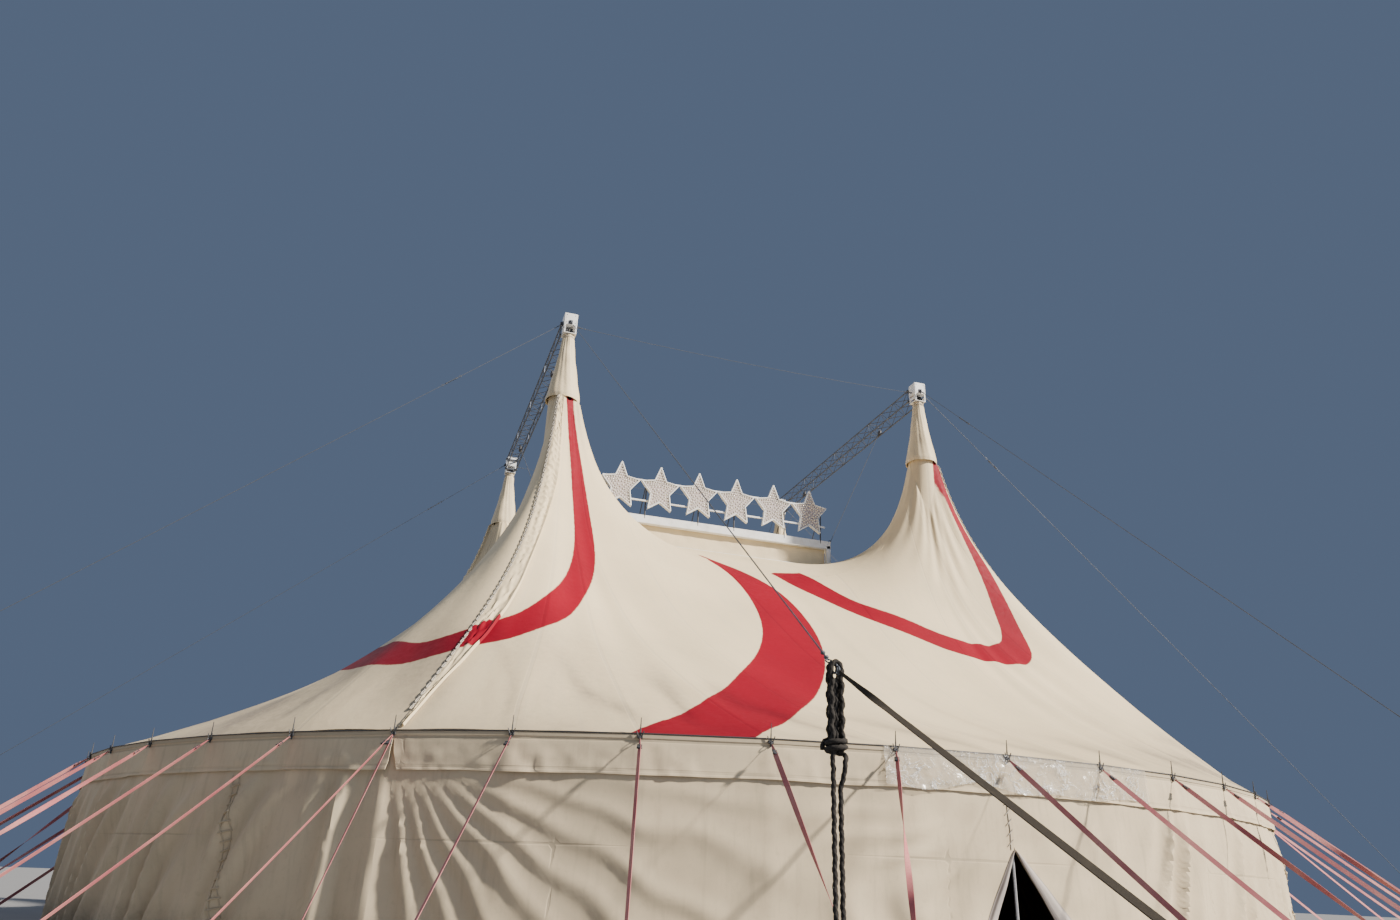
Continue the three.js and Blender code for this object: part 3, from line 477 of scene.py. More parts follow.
# Materials
class Shader:
    """Short names for the nodes of one material."""

    def __init__(self, name):
        self.material = bpy.data.materials.new(name)
        self.material.use_nodes = True
        self.tree = self.material.node_tree
        self.surface = self.tree.nodes["Principled BSDF"]

    def node(self, kind, **settings):
        made = self.tree.nodes.new(kind)
        for key, value in settings.items():
            setattr(made, key, value)
        return made

    def feed(self, socket, value):
        if isinstance(value, bpy.types.NodeSocket):
            self.tree.links.new(value, socket)
        else:
            socket.default_value = value

    def value(self, name):
        return self.node("ShaderNodeAttribute", attribute_name=name, attribute_type="GEOMETRY").outputs["Fac"]

    def place(self, scale=(1, 1, 1), kind="Object"):
        mapping = self.node("ShaderNodeMapping")
        self.feed(mapping.inputs["Vector"], self.node("ShaderNodeTexCoord").outputs[kind])
        mapping.inputs["Scale"].default_value = scale
        return mapping.outputs["Vector"]

    def noise(self, where, scale, detail=3.0, rough=0.55, warp=0.0):
        made = self.node("ShaderNodeTexNoise")
        self.feed(made.inputs["Vector"], where)
        self.feed(made.inputs["Scale"], scale)
        self.feed(made.inputs["Detail"], detail)
        self.feed(made.inputs["Roughness"], rough)
        self.feed(made.inputs["Distortion"], warp)
        return made.outputs["Fac"]

    def bands(self, where, scale, direction="X", warp=0.0):
        made = self.node("ShaderNodeTexWave", bands_direction=direction)
        self.feed(made.inputs["Vector"], where)
        self.feed(made.inputs["Scale"], scale)
        self.feed(made.inputs["Distortion"], warp)
        return made.outputs["Fac"]

    def cells(self, where, scale):
        made = self.node("ShaderNodeTexVoronoi")
        self.feed(made.inputs["Vector"], where)
        self.feed(made.inputs["Scale"], scale)
        return made.outputs["Distance"]

    def math(self, operation, a, b=0.0):
        made = self.node("ShaderNodeMath", operation=operation)
        self.feed(made.inputs[0], a)
        self.feed(made.inputs[1], b)
        return made.outputs[0]

    def span(self, value, low, high, to_low=0.0, to_high=1.0):
        made = self.node("ShaderNodeMapRange", clamp=True)
        for key, given in (("Value", value), ("From Min", low), ("From Max", high),
                           ("To Min", to_low), ("To Max", to_high)):
            self.feed(made.inputs[key], given)
        return made.outputs[0]

    def mix(self, share, a, b, blend="MIX"):
        made = self.node("ShaderNodeMix", data_type="RGBA", blend_type=blend)
        self.feed(made.inputs[0], share)
        self.feed(made.inputs[6], (*a, 1.0) if isinstance(a, tuple) and len(a) == 3 else a)
        self.feed(made.inputs[7], (*b, 1.0) if isinstance(b, tuple) and len(b) == 3 else b)
        return made.outputs[2]

    def stain(self, color, pattern, low, high, most, spots):
        """Brings a second colour in where a pattern runs from low to high."""
        return self.mix(self.span(pattern, low, high, 0.0, most), color, spots)

    def bump(self, height, strength, distance, below=None):
        made = self.node("ShaderNodeBump")
        self.feed(made.inputs["Height"], height)
        self.feed(made.inputs["Strength"], strength)
        self.feed(made.inputs["Distance"], distance)
        if below is not None:
            self.feed(made.inputs["Normal"], below)
        return made.outputs["Normal"]

    def finish(self, color, roughness, normal=None, **settings):
        self.feed(self.surface.inputs["Base Color"], color)
        self.feed(self.surface.inputs["Roughness"], roughness)
        if normal is not None:
            self.feed(self.surface.inputs["Normal"], normal)
        for key, value in settings.items():
            self.feed(self.surface.inputs[key.replace("_", " ")], value)
        return self.material


def shade_of(color, amount):
    return tuple(channel * amount for channel in color)


CREAM = (0.76, 0.62, 0.39)
CREAM_DIRTY = (0.60, 0.51, 0.37)
KHAKI = (0.61, 0.50, 0.335)
KHAKI_DIRTY = (0.36, 0.30, 0.21)
RED = (0.26, 0.0, 0.013)
RED_DIRTY = (0.24, 0.008, 0.02)
# Bluish tint for the roof's darkening, which is partly dirt and partly painted shade
DIRT_AND_SHADE_TINT = (0.40, 0.40, 0.46)
WEBBING_RED = (0.42, 0.11, 0.12)
WEBBING_FADED = (0.58, 0.25, 0.22)
WEBBING_DIRTY = (0.20, 0.075, 0.08)


def roof_material():
    """Cream coated canvas with red ribbons, welded panel seams, rain streaks, and a darkening that is partly
    dirt and partly painted shade.
    """
    s = Shader("roof_canvas")
    where = s.place()
    large = s.noise(where, 0.9, 4.0)
    mottle = s.noise(where, 14.0, 5.0, 0.65)
    streaks = s.noise(s.place((1.0, 0.08, 1.0), "UV"), 9.0, 4.0, 0.6)
    seam = s.value("seam")
    cream = s.stain(CREAM, large, 0.35, 0.7, 1.0, shade_of(CREAM, 0.9))
    cream = s.stain(cream, streaks, 0.5, 0.8, 0.35, CREAM_DIRTY)
    cream = s.stain(cream, mottle, 0.55, 0.8, 0.2, CREAM_DIRTY)
    cream = s.mix(s.span(seam, 0.012, 0.022, 0.3, 0.0), cream, CREAM_DIRTY)
    red = s.stain(RED, large, 0.35, 0.7, 1.0, shade_of(RED, 0.82))
    red = s.stain(red, streaks, 0.5, 0.8, 0.35, RED_DIRTY)
    red = s.mix(s.span(seam, 0.012, 0.022, 0.35, 0.0), red, shade_of(RED, 0.55))
    edge = s.math("ADD", s.value("ribbon"), s.span(mottle, 0.3, 0.7, -0.004, 0.004))
    color = s.mix(s.span(edge, -0.006, 0.006), cream, red)
    # Painted shade mixed with dirt: the canvas is darkened towards the bluish tint.
    grime = s.span(s.value("grime"), 0.0, 1.0)
    dirt_and_shade_share = s.math("MULTIPLY", grime, s.span(mottle, 0.3, 0.7, 0.7, 1.0))
    color = s.mix(dirt_and_shade_share, color, DIRT_AND_SHADE_TINT, "MULTIPLY")
    normal = s.bump(s.noise(where, 420.0, 2.0), 0.25, 0.0006)
    normal = s.bump(s.noise(where, 5.0, 5.0, 0.6, 0.6), 0.35, 0.012, normal)
    normal = s.bump(s.span(seam, 0.018, 0.026), 0.4, 0.003, normal)
    return s.finish(color, s.span(mottle, 0.3, 0.7, 0.6, 0.76), normal, Specular_IOR_Level=0.18)


def wall_material(name, base, dirty, low_dirt=1.0):
    """Dull khaki canvas with a weave, stains towards the ground and stitched seams."""
    s = Shader(name)
    where = s.place()
    cloth = s.place((1, 1, 1), "UV")
    mottle = s.noise(where, 16.0, 5.0, 0.65)
    streaks = s.noise(s.place((1.0, 0.12, 1.0), "UV"), 12.0, 4.0, 0.6)
    seam = s.value("seam")
    color = s.stain(base, s.noise(where, 1.6, 4.0), 0.35, 0.7, 1.0, shade_of(base, 0.86))
    color = s.stain(color, streaks, 0.52, 0.8, 0.5, dirty)
    color = s.stain(color, mottle, 0.55, 0.8, 0.3, dirty)
    splashed = s.span(s.value("height"), 0.5, 0.0, 0.0, low_dirt)
    splashed = s.math("MULTIPLY", splashed, s.span(mottle, 0.3, 0.6, 0.3, 1.0))
    color = s.mix(splashed, color, shade_of(dirty, 0.6))
    color = s.mix(s.span(seam, 0.006, 0.014, 0.6, 0.0), color, dirty)
    threads = s.math("ADD", s.bands(cloth, 90.0, "X", 0.4), s.bands(cloth, 90.0, "Y", 0.4))
    normal = s.bump(threads, 0.2, 0.0008)
    normal = s.bump(s.noise(where, 7.0, 5.0, 0.55, 0.6), 0.3, 0.004, normal)
    normal = s.bump(s.span(seam, 0.010, 0.018), 0.5, 0.004, normal)
    return s.finish(color, s.span(mottle, 0.3, 0.7, 0.78, 0.92), normal, Specular_IOR_Level=0.2)


def cap_material():
    """The roof's cream canvas, on the caps and the cupola."""
    s = Shader("cap_canvas")
    where = s.place()
    mottle = s.noise(where, 24.0, 5.0, 0.65)
    color = s.stain(shade_of(CREAM, 0.98), s.noise(where, 2.4, 4.0), 0.35, 0.7, 1.0, shade_of(CREAM, 0.84))
    color = s.stain(color, mottle, 0.55, 0.8, 0.35, CREAM_DIRTY)
    color = s.mix(s.span(s.value("seam"), 0.004, 0.010, 0.7, 0.0), color, CREAM_DIRTY)
    normal = s.bump(s.noise(where, 420.0, 2.0), 0.25, 0.0006)
    normal = s.bump(s.noise(where, 12.0, 5.0, 0.6, 0.5), 0.5, 0.008, normal)
    return s.finish(color, s.span(mottle, 0.3, 0.7, 0.6, 0.78), normal)


def paint_material(name, base, worn, rough=0.4):
    """Painted metal with a little wear and grime."""
    s = Shader(name)
    where = s.place()
    fine = s.noise(where, 60.0, 4.0, 0.6)
    color = s.stain(base, s.noise(where, 7.0, 5.0, 0.65), 0.45, 0.75, 0.7, worn)
    color = s.stain(color, fine, 0.6, 0.75, 0.5, shade_of(worn, 0.6))
    return s.finish(color, s.span(fine, 0.3, 0.7, rough, rough + 0.2), s.bump(fine, 0.25, 0.001))


def metal_material(name, base, worn, rough=0.4, metallic=0.85):
    """Bare metal with spangles and duller patches."""
    s = Shader(name)
    where = s.place()
    patches = s.noise(where, 9.0, 5.0, 0.65)
    color = s.stain(base, s.cells(where, 55.0), 0.1, 0.6, 1.0, shade_of(base, 0.75))
    color = s.stain(color, patches, 0.5, 0.75, 0.8, worn)
    normal = s.bump(s.noise(where, 90.0, 3.0), 0.25, 0.001)
    return s.finish(color, s.span(patches, 0.3, 0.7, rough, rough + 0.25), normal, Metallic=metallic)


def strap_material():
    """Faded red webbing with ribs across its width."""
    s = Shader("strap_webbing")
    where = s.place()
    fine = s.noise(where, 70.0, 3.0)
    color = s.stain(WEBBING_RED, s.noise(where, 2.2, 4.0), 0.35, 0.7, 1.0, WEBBING_FADED)
    color = s.stain(color, fine, 0.5, 0.8, 0.4, WEBBING_DIRTY)
    ribs = s.bands(s.place((1, 1, 1), "UV"), 60.0, "Y", 0.3)
    return s.finish(color, s.span(fine, 0.3, 0.7, 0.7, 0.88), s.bump(ribs, 0.5, 0.001))


def rope_material(name, base, worn):
    """Fibres of rope or dark webbing, paler in patches."""
    s = Shader(name)
    where = s.place()
    fibres = s.noise(where, 180.0, 4.0, 0.7)
    color = s.stain(base, fibres, 0.4, 0.7, 1.0, worn)
    color = s.stain(color, s.noise(where, 14.0, 4.0), 0.55, 0.8, 0.6, shade_of(worn, 1.3))
    normal = s.bump(fibres, 0.8, 0.002)
    return s.finish(color, s.span(fibres, 0.3, 0.7, 0.8, 0.95), normal, Specular_IOR_Level=0.2)


def foil_material():
    """Clear glossy plastic sheet over the valance, with painted glints: white and less clear along its
    creases.
    """
    s = Shader("clear_foil")
    where = s.place()
    ridge = s.math("ABSOLUTE", s.math("SUBTRACT", s.noise(where, 7.0, 4.0, 0.55, 1.4), 0.5))
    patches = s.span(s.noise(where, 2.6, 2.0), 0.42, 0.56)
    # Painted highlight: glints are painted along the creases, white and more opaque.
    creases_and_glints = s.math("MULTIPLY", s.span(ridge, 0.0, 0.03, 1.0, 0.0), patches)
    normal = s.bump(s.noise(where, 6.0, 4.0, 0.5, 0.9), 0.7, 0.02)
    normal = s.bump(creases_and_glints, 0.6, 0.01, normal)
    color = s.mix(creases_and_glints, (0.66, 0.60, 0.50), (0.92, 0.92, 0.90))
    rough = s.span(s.noise(where, 40.0, 4.0), 0.3, 0.7, 0.10, 0.25)
    return s.finish(color, rough, normal, Alpha=s.span(creases_and_glints, 0.0, 1.0, 0.2, 0.85))


def bulb_material():
    s = Shader("sign_bulb")
    where = s.place()
    glass = s.stain((0.9, 0.88, 0.8), s.noise(where, 120.0), 0.35, 0.65, 1.0, (0.62, 0.6, 0.55))
    return s.finish(glass, s.span(s.noise(where, 60.0), 0.3, 0.7, 0.08, 0.2))


roof_canvas = roof_material()
wall_canvas = wall_material("wall_canvas", KHAKI, KHAKI_DIRTY)
valance_canvas = wall_material("valance_canvas", shade_of(KHAKI, 1.06), KHAKI_DIRTY, 0.0)
flap_canvas = wall_material("flap_canvas", (0.42, 0.37, 0.33), (0.25, 0.21, 0.19))
cap_canvas = cap_material()
white_paint = paint_material("white_paint", (0.78, 0.78, 0.76), (0.52, 0.51, 0.48))
steel = metal_material("galvanised_steel", (0.26, 0.27, 0.29), (0.13, 0.12, 0.11))
dark_steel = metal_material("dark_steel", (0.09, 0.09, 0.095), (0.05, 0.045, 0.04), 0.5, 0.6)
wire_steel = metal_material("wire_steel", (0.12, 0.13, 0.15), (0.08, 0.075, 0.07), 0.5, 0.6)
truss_steel = metal_material("truss_steel", (0.13, 0.145, 0.175), (0.07, 0.07, 0.075), 0.4, 0.7)
pole_steel = metal_material("pole_steel", (0.55, 0.56, 0.57), (0.36, 0.35, 0.34), 0.4, 0.5)
webbing = strap_material()
brown_webbing = rope_material("anchor_webbing", (0.022, 0.018, 0.013), (0.045, 0.036, 0.025))
black_rope = rope_material("black_rope", (0.018, 0.016, 0.015), (0.05, 0.044, 0.038))
pale_rope = rope_material("lacing_rope", (0.55, 0.50, 0.42), (0.32, 0.28, 0.23))
clear_foil = foil_material()
bulb_glass = bulb_material()
sign_face = paint_material("sign_face", (0.46, 0.39, 0.37), (0.30, 0.25, 0.23), 0.6)


# Camera, lights and floor. The camera was worked out from the mast heads, caps, poles and guys
CAMERA_PLACE = (-5.3987, -17.3277, 0.85)
CAMERA_RIGHT = (0.94739, -0.31824, 0.03417)
CAMERA_UP = (-0.15509, -0.36304, 0.91877)
CAMERA_AHEAD = (0.27999, 0.87574, 0.39330)
LENS = 25.354
SENSOR = 36.0
FLOOR_HALF = 90
FLOOR_LEVEL = -0.002


def add_camera():
    """The photo's camera."""
    camera = bpy.data.objects.new("photo_camera", bpy.data.cameras.new("photo_camera"))
    bpy.context.scene.collection.objects.link(camera)
    back = [-value for value in CAMERA_AHEAD]
    camera.matrix_world = Matrix([*zip(CAMERA_RIGHT, CAMERA_UP, back, CAMERA_PLACE), (0, 0, 0, 1)])
    camera.data.lens = LENS
    camera.data.sensor_width = SENSOR
    camera.data.clip_end = 300
    bpy.context.scene.camera = camera


def add_sun(name, azimuth, elevation, strength, angle, color):
    """A sun whose light comes from an azimuth and elevation, its shadows softened by its angle."""
    lamp = bpy.data.lights.new(name, "SUN")
    lamp.energy = strength
    lamp.angle = math.radians(angle)
    lamp.color = color
    sun = bpy.data.objects.new(name, lamp)
    bpy.context.scene.collection.objects.link(sun)
    sun.rotation_euler = (math.radians(90 - elevation), 0, math.radians(azimuth + 90))


def add_stage():
    world = bpy.data.worlds.new("studio")
    bpy.context.scene.world = world
    world.use_nodes = True
    backdrop = world.node_tree.nodes["Background"]
    backdrop.inputs["Color"].default_value = (0.44, 0.60, 0.95, 1)
    backdrop.inputs["Strength"].default_value = 0.22
    add_sun("key_light", -37, 31, 10.5, 3.0, (1.0, 0.93, 0.83))
    add_sun("sky_light", -58, 16, 0.75, 40, (0.60, 0.74, 1.0))
    add_sun("rear_light", 140, 30, 0.8, 60, (0.9, 0.93, 1.0))
    s = Shader("studio_floor")
    grain = s.noise(s.place(), 3.0, 4.0)
    floor_material = s.finish(s.mix(grain, (0.20, 0.20, 0.20), (0.24, 0.24, 0.24)), 0.9)
    mesh = bpy.data.meshes.new("studio_floor")
    corners = [(x * FLOOR_HALF, y * FLOOR_HALF, FLOOR_LEVEL) for x, y in MASTS]
    mesh.from_pydata(corners, [], [(0, 1, 2, 3)])
    mesh.materials.append(floor_material)
    floor = bpy.data.objects.new("studio_floor", mesh)
    bpy.context.scene.collection.objects.link(floor)


# The rope hank on the front left guy: doubled over the guy twice, with one long bight hanging below
HANK_X = -3.23
HANK_Y = -12.87
HANK_EXIT = 1.8
HANK_SADDLE = 1.845
HANK_WAIST = 1.47
HANK_TIE = 1.45
HANK_FOOT = 0.49
ROPE = 0.027
BODY_HALF = 0.027
BODY_DEEP = 0.0165
BIGHT_HALF = 0.0185
LOOP_HALF = 0.05
LOOP_RISE = 0.18
TAIL_WAVE = 0.0018
BODY_WAVE = 0.0042
HANK_STUB = [
    (-0.022, -0.001, 0.0), (-0.044, -0.006, -0.010), (-0.058, -0.013, -0.029), (-0.062, -0.016, -0.052),
]


def half_turn(start, end, bulge, steps=12):
    """A half circle from one point to the other, bulging up or down."""
    start, end = np.array(start, float), np.array(end, float)
    angle = np.linspace(0, math.pi, steps)[:, None]
    middle, arm = (start + end) / 2, (start - end) / 2
    return middle + arm * np.cos(angle) + np.array([0, 0, bulge]) * np.sin(angle)


def hank_run(x, y, start, end, end_x=None, end_y=None):
    """A slightly wavy strand between two heights."""
    levels = np.linspace(start, end, max(int(abs(end - start) / 0.012), 4))[1:-1]
    ease = smooth(levels, start, end)
    wave = np.where(levels > HANK_WAIST - 0.02, BODY_WAVE, TAIL_WAVE)
    wave = wave * np.sin(levels * 2 * math.pi / 0.083 + x * 130 + y * 210)
    xs = x + ((x if end_x is None else end_x) - x) * ease + wave
    ys = y + ((y if end_y is None else end_y) - y) * ease + 0.8 * np.roll(wave, 2)
    return stacked(xs, ys, levels)


def hank_path():
    """Down from the guy, twice over it, down the long bight and up, then wound round the waist."""
    w, d, b = BODY_HALF, BODY_DEEP, BIGHT_HALF
    runs = [
        [[0, 0, HANK_EXIT]],
        hank_run(0, 0, HANK_EXIT, HANK_WAIST),
        half_turn((0, 0, HANK_WAIST), (-w, d, HANK_WAIST), -0.016),
        hank_run(-w, d, HANK_WAIST, HANK_SADDLE),
        half_turn((-w, d, HANK_SADDLE), (w, d, HANK_SADDLE), 0.034),
        hank_run(w, d, HANK_SADDLE, HANK_WAIST),
        half_turn((w, d, HANK_WAIST), (w, -d, HANK_WAIST), -0.018),
        hank_run(w, -d, HANK_WAIST, HANK_SADDLE),
        half_turn((w, -d, HANK_SADDLE), (-w, -d, HANK_SADDLE), 0.036),
        hank_run(-w, -d, HANK_SADDLE, HANK_WAIST),
        hank_run(-w, -d, HANK_WAIST, HANK_TIE - 0.1, -b, 0.0),
        hank_run(-b, 0, HANK_TIE - 0.1, HANK_FOOT + LOOP_RISE),
        hank_run(-b, 0, HANK_FOOT + LOOP_RISE, HANK_FOOT, -LOOP_HALF, 0),
        half_turn((-LOOP_HALF, 0, HANK_FOOT), (LOOP_HALF, 0, HANK_FOOT), -LOOP_HALF),
        hank_run(LOOP_HALF, 0, HANK_FOOT, HANK_FOOT + LOOP_RISE, b, 0),
        hank_run(b, 0, HANK_FOOT + LOOP_RISE, HANK_TIE - 0.18),
        hank_run(b, 0, HANK_TIE - 0.18, HANK_TIE - 0.067, b + 0.014, -0.03),
    ]
    turn = np.linspace(-0.28 * math.pi, 4.5 * math.pi, 76)
    wound = turn - turn[0]
    rise = 0.029 * wound / (2 * math.pi) - 0.045 * np.exp(-wound / 0.55)
    wrap = stacked((w + 0.019) * np.cos(turn), (d + 0.025) * np.sin(turn), HANK_TIE - 0.01 + rise)
    stub = wrap[-1] + np.array(HANK_STUB)
    rough = np.concatenate([np.array(run, float).reshape(-1, 3) for run in [*runs, wrap, stub]])
    return curved(rough, 2) + np.array([HANK_X, HANK_Y, 0])


def add_hank():
    path = hank_path()
    hank = Builder()
    add_tube(hank, path, ROPE / 2, sides=12, up=(0, 1, 0), lobes=3, depth=0.24, twist=62.0)
    piece = hank.make("rope_hank_looped", black_rope, "black_rope", ["rope_hank"], sharp=0)


# Ribbons: outlines in plan, in polar form round their own mast, or straight for the S shape
def polar_points(pairs, mast):
    azimuth, radius = np.array(pairs, float).T
    return polar(radius, azimuth) + np.array(mast) * MAST


HOOK_LEFT_OUTER = [
    (-49, 0.215), (-48, 0.373), (-51, 0.566), (-58, 0.827), (-66, 1.19), (-71.3, 1.446), (-78, 1.785),
    (-84.5, 2.206), (-90, 2.65), (-94.7, 3.026), (-98.5, 3.292), (-102.4, 3.476), (-106, 3.592),
    (-110.5, 3.67), (-115.3, 3.708), (-121, 3.682), (-126, 3.616), (-132, 3.477), (-146, 3.1),
    (-165, 2.75), (-185, 2.55), (-206, 2.45), (-232, 2.42), (-259, 2.6), (-270, 2.72), (-275, 2.8),
]
HOOK_LEFT_INNER = [
    (-86, 0.215), (-74, 0.359), (-73, 0.55), (-77, 0.845), (-82.8, 1.305), (-87, 1.668), (-90.8, 2.017),
    (-94.2, 2.37), (-98.1, 2.713), (-102, 2.996), (-105, 3.195), (-110.4, 3.379), (-115.8, 3.45),
    (-119.4, 3.43), (-125.6, 3.287), (-133, 3.013), (-141, 2.75), (-160, 2.4), (-180, 2.2),
    (-206, 2.1), (-232, 2.12), (-257, 2.13), (-273, 2.2),
]
HOOK_RIGHT_OUTER = [
    (-24, 0.215), (-23.5, 0.45), (-25.5, 0.75), (-28.7, 1.038), (-36, 1.19), (-42.8, 1.352), (-50, 1.56),
    (-58.8, 1.672), (-77.7, 1.655), (-113, 1.724), (-145.8, 2.124), (-169, 2.588), (-178.4, 2.754),
    (-183, 2.85),
]
HOOK_RIGHT_INNER = [
    (-56, 0.215), (-38.5, 0.368), (-35.5, 0.624), (-39.5, 0.874), (-57.7, 1.19), (-66.5, 1.3),
    (-84.1, 1.33), (-122, 1.476), (-153.7, 1.9), (-169, 2.08), (-182.7, 2.212), (-186, 2.279),
]
BAND_RIGHT = [
    (-0.95, -2.75), (-0.62, -2.98), (-0.33, -3.16), (0.0, -3.45), (0.28, -4.0), (0.35, -4.6),
    (0.296, -5.184), (0.013, -5.955), (-0.679, -7.113), (-1.624, -8.353), (-2.067, -8.759),
    (-2.5, -9.3),
]
BAND_LEFT = [
    (-0.95, -2.75), (-0.681, -3.178), (-0.503, -3.537), (-0.41, -4.005), (-0.4, -4.43), (-0.54, -5.218),
    (-0.977, -6.017), (-1.562, -6.911), (-2.313, -7.87), (-3.135, -8.436), (-3.8, -8.85),
]


def eased(points, reach):
    """A curve through the points with its small wobbles smoothed away, its ends kept."""
    line = curved(points)
    along = lengths_along(line)
    even = np.linspace(0, along[-1], int(along[-1] / 0.05) + 2)
    line = stacked(*(np.interp(even, along, values) for values in line.T))
    span = np.minimum(reach, 0.6 * np.minimum(even, even[-1] - even) + 1e-3)
    weight = np.exp(-(((even[:, None] - even[None]) / span[:, None]) ** 2))
    return weight @ line / weight.sum(axis=1, keepdims=True)


def ribbon_outlines():
    """Two hooks on opposite masts, twice, and a band down each side."""
    outlines = []
    for outer, inner, mast, reach in ((HOOK_LEFT_OUTER, HOOK_LEFT_INNER, (-1, -1), 0.3),
                                      (HOOK_RIGHT_OUTER, HOOK_RIGHT_INNER, (1, -1), 0.16)):
        edges = [eased(polar_points(pairs, mast), reach) for pairs in (outer, inner)]
        hook = np.concatenate([edges[0], edges[1][::-1]])
        outlines += [hook, turned(hook, 2)]
    band = np.concatenate([eased(BAND_RIGHT, 0.4), eased(BAND_LEFT, 0.4)[::-1]])
    return outlines + [turned(band, q) for q in range(4)]


def signed_distance(points, outline):
    """How far plan points lie inside a closed outline; outside it is below zero."""
    nearest = np.full(len(points), 1e9)
    inside = np.zeros(len(points), bool)
    ends = np.roll(outline, -1, axis=0)
    for (ax, ay), (bx, by) in zip(outline, ends):
        ex, ey = bx - ax, by - ay
        size = ex * ex + ey * ey
        if size < 1e-12:
            continue
        px, py = points[:, 0] - ax, points[:, 1] - ay
        share = np.clip((px * ex + py * ey) / size, 0, 1)
        nearest = np.minimum(nearest, (px - share * ex) ** 2 + (py - share * ey) ** 2)
        crosses = (ay > points[:, 1]) != (by > points[:, 1])
        if crosses.any() and abs(ey) > 1e-12:
            inside ^= crosses & (points[:, 0] < ax + (points[:, 1] - ay) * ex / ey)
    return np.where(inside, 1, -1) * np.sqrt(nearest)


OUTLINES = ribbon_outlines()


def ribbon_field(plan):
    """The signed distance to the nearest ribbon's edge, for plan points."""
    flat = plan.reshape(-1, 2)
    field = np.full(len(flat), -9.0)
    for outline in OUTLINES:
        low, high = outline.min(axis=0) - 0.6, outline.max(axis=0) + 0.6
        near = ((flat > low) & (flat < high)).all(axis=1)
        if near.any():
            field[near] = np.maximum(field[near], signed_distance(flat[near], outline))
    return field.reshape(plan.shape[:-1])


# Canopy
SECTION_STEPS = 6
SECTION_ROWS = 84
SMEAR_LEAN = 0.8
CANVAS = 0.007


def inner_edge(column):
    """Where the front section's columns start: round one mast, along the ridge, round the next."""
    left = polar(COLLAR_RADIUS, SEAM_AZIMUTH * (1 - column / ARC_LEFT)) - MAST
    half = MAST - COLLAR_RADIUS
    ridge = stacked(-half * np.cos(math.pi * (column - ARC_LEFT) / RIDGE), -MAST)
    turn = 180 + (SEAM_AZIMUTH + 270) * (column - ARC_LEFT - RIDGE) / ARC_RIGHT
    right = polar(COLLAR_RADIUS, turn) + np.array([MAST, -MAST])
    on_ridge = ((column > ARC_LEFT) & (column < ARC_LEFT + RIDGE))[:, None]
    return np.where(on_ridge, ridge, np.where((column <= ARC_LEFT)[:, None], left, right))


def spread(start, end, share):
    """Plan points from start to end, closer together near a mast."""
    near = mast_reach(start[..., 0], start[..., 1])[..., None]
    length = np.linalg.norm(end - start, axis=-1, keepdims=True)
    reached = near * ((near + length) / near) ** share[..., None] - near
    return start + (end - start) * reached / length


def seam_bow(reach):
    """How far the laced seam bows sideways in plan at a distance from its mast."""
    share = np.clip(reach / 4.55, 0, 1) ** 1.3
    return 0.22 * np.sin(math.pi * share)


def seam_shift(plan, column):
    """Moves the columns beside the two seams along with the seams' bow."""
    left_share = np.clip(1 - column / 4, 0, 1)
    right_share = np.clip(1 - (COLUMNS - column) / 4, 0, 1)
    x, y = plan[..., 0], plan[..., 1]
    left_bow = seam_bow(np.hypot(x + MAST, y + MAST)) * left_share
    right_bow = seam_bow(np.hypot(x - MAST, y + MAST)) * right_share
    left = polar(1.0, SEAM_AZIMUTH + 90) * left_bow[..., None]
    right = polar(1.0, SEAM_AZIMUTH + 180) * right_bow[..., None]
    return plan + left + right


def mast_polar(x, y):
    """Distance and turn round the nearest mast, the turn counted from its outward diagonal."""
    mx, my = np.sign(x) * MAST, np.sign(y) * MAST
    dx, dy = x - mx, y - my
    return np.hypot(dx, dy), np.arctan2(mx * dy - my * dx, mx * dx + my * dy)


def roof_relief(x, y, bays, share):
    """Folds and hollows of the taut canvas, outward in metres."""
    reach, turn = mast_polar(x, y)
    neck = bell(reach - 0.3, 0.55)
    folds = 0.010 * neck * np.cos(11 * turn + 3.0 * np.sin(2 * turn) - 5.0 * reach)
    folds = folds + 0.006 * bell(reach - 0.35, 0.35) * np.cos(19 * turn + 7 * reach)
    between = bays - np.floor(bays)
    hollow = -0.020 * np.sin(math.pi * between) ** 2
    hollow = hollow * smooth(share, 0.35, 0.8) * (1 - smooth(share, 0.97, 1.0))
    slow = 0.014 * waves(x, y, 3, 2.2) * smooth(share, 0.05, 0.4)
    pull = (1 - share) * 9.0
    side = (bays - np.round(bays)) * BAY_CLOTH
    spokes = 0.006 * np.cos(9 * np.arctan2(side, pull + 0.06)) * bell(np.hypot(side, pull) - 0.3, 0.35)
    return folds + hollow + slow + spokes


def raised_collar(x, y, z, shares):
    """The canvas's points, with the first row round a mast raised to its collar."""
    at_collar = (shares == 0) & (mast_reach(x, y) < COLLAR_RADIUS + 0.003)
    return stacked(x, y, np.where(at_collar, COLLAR_HEIGHT, z))


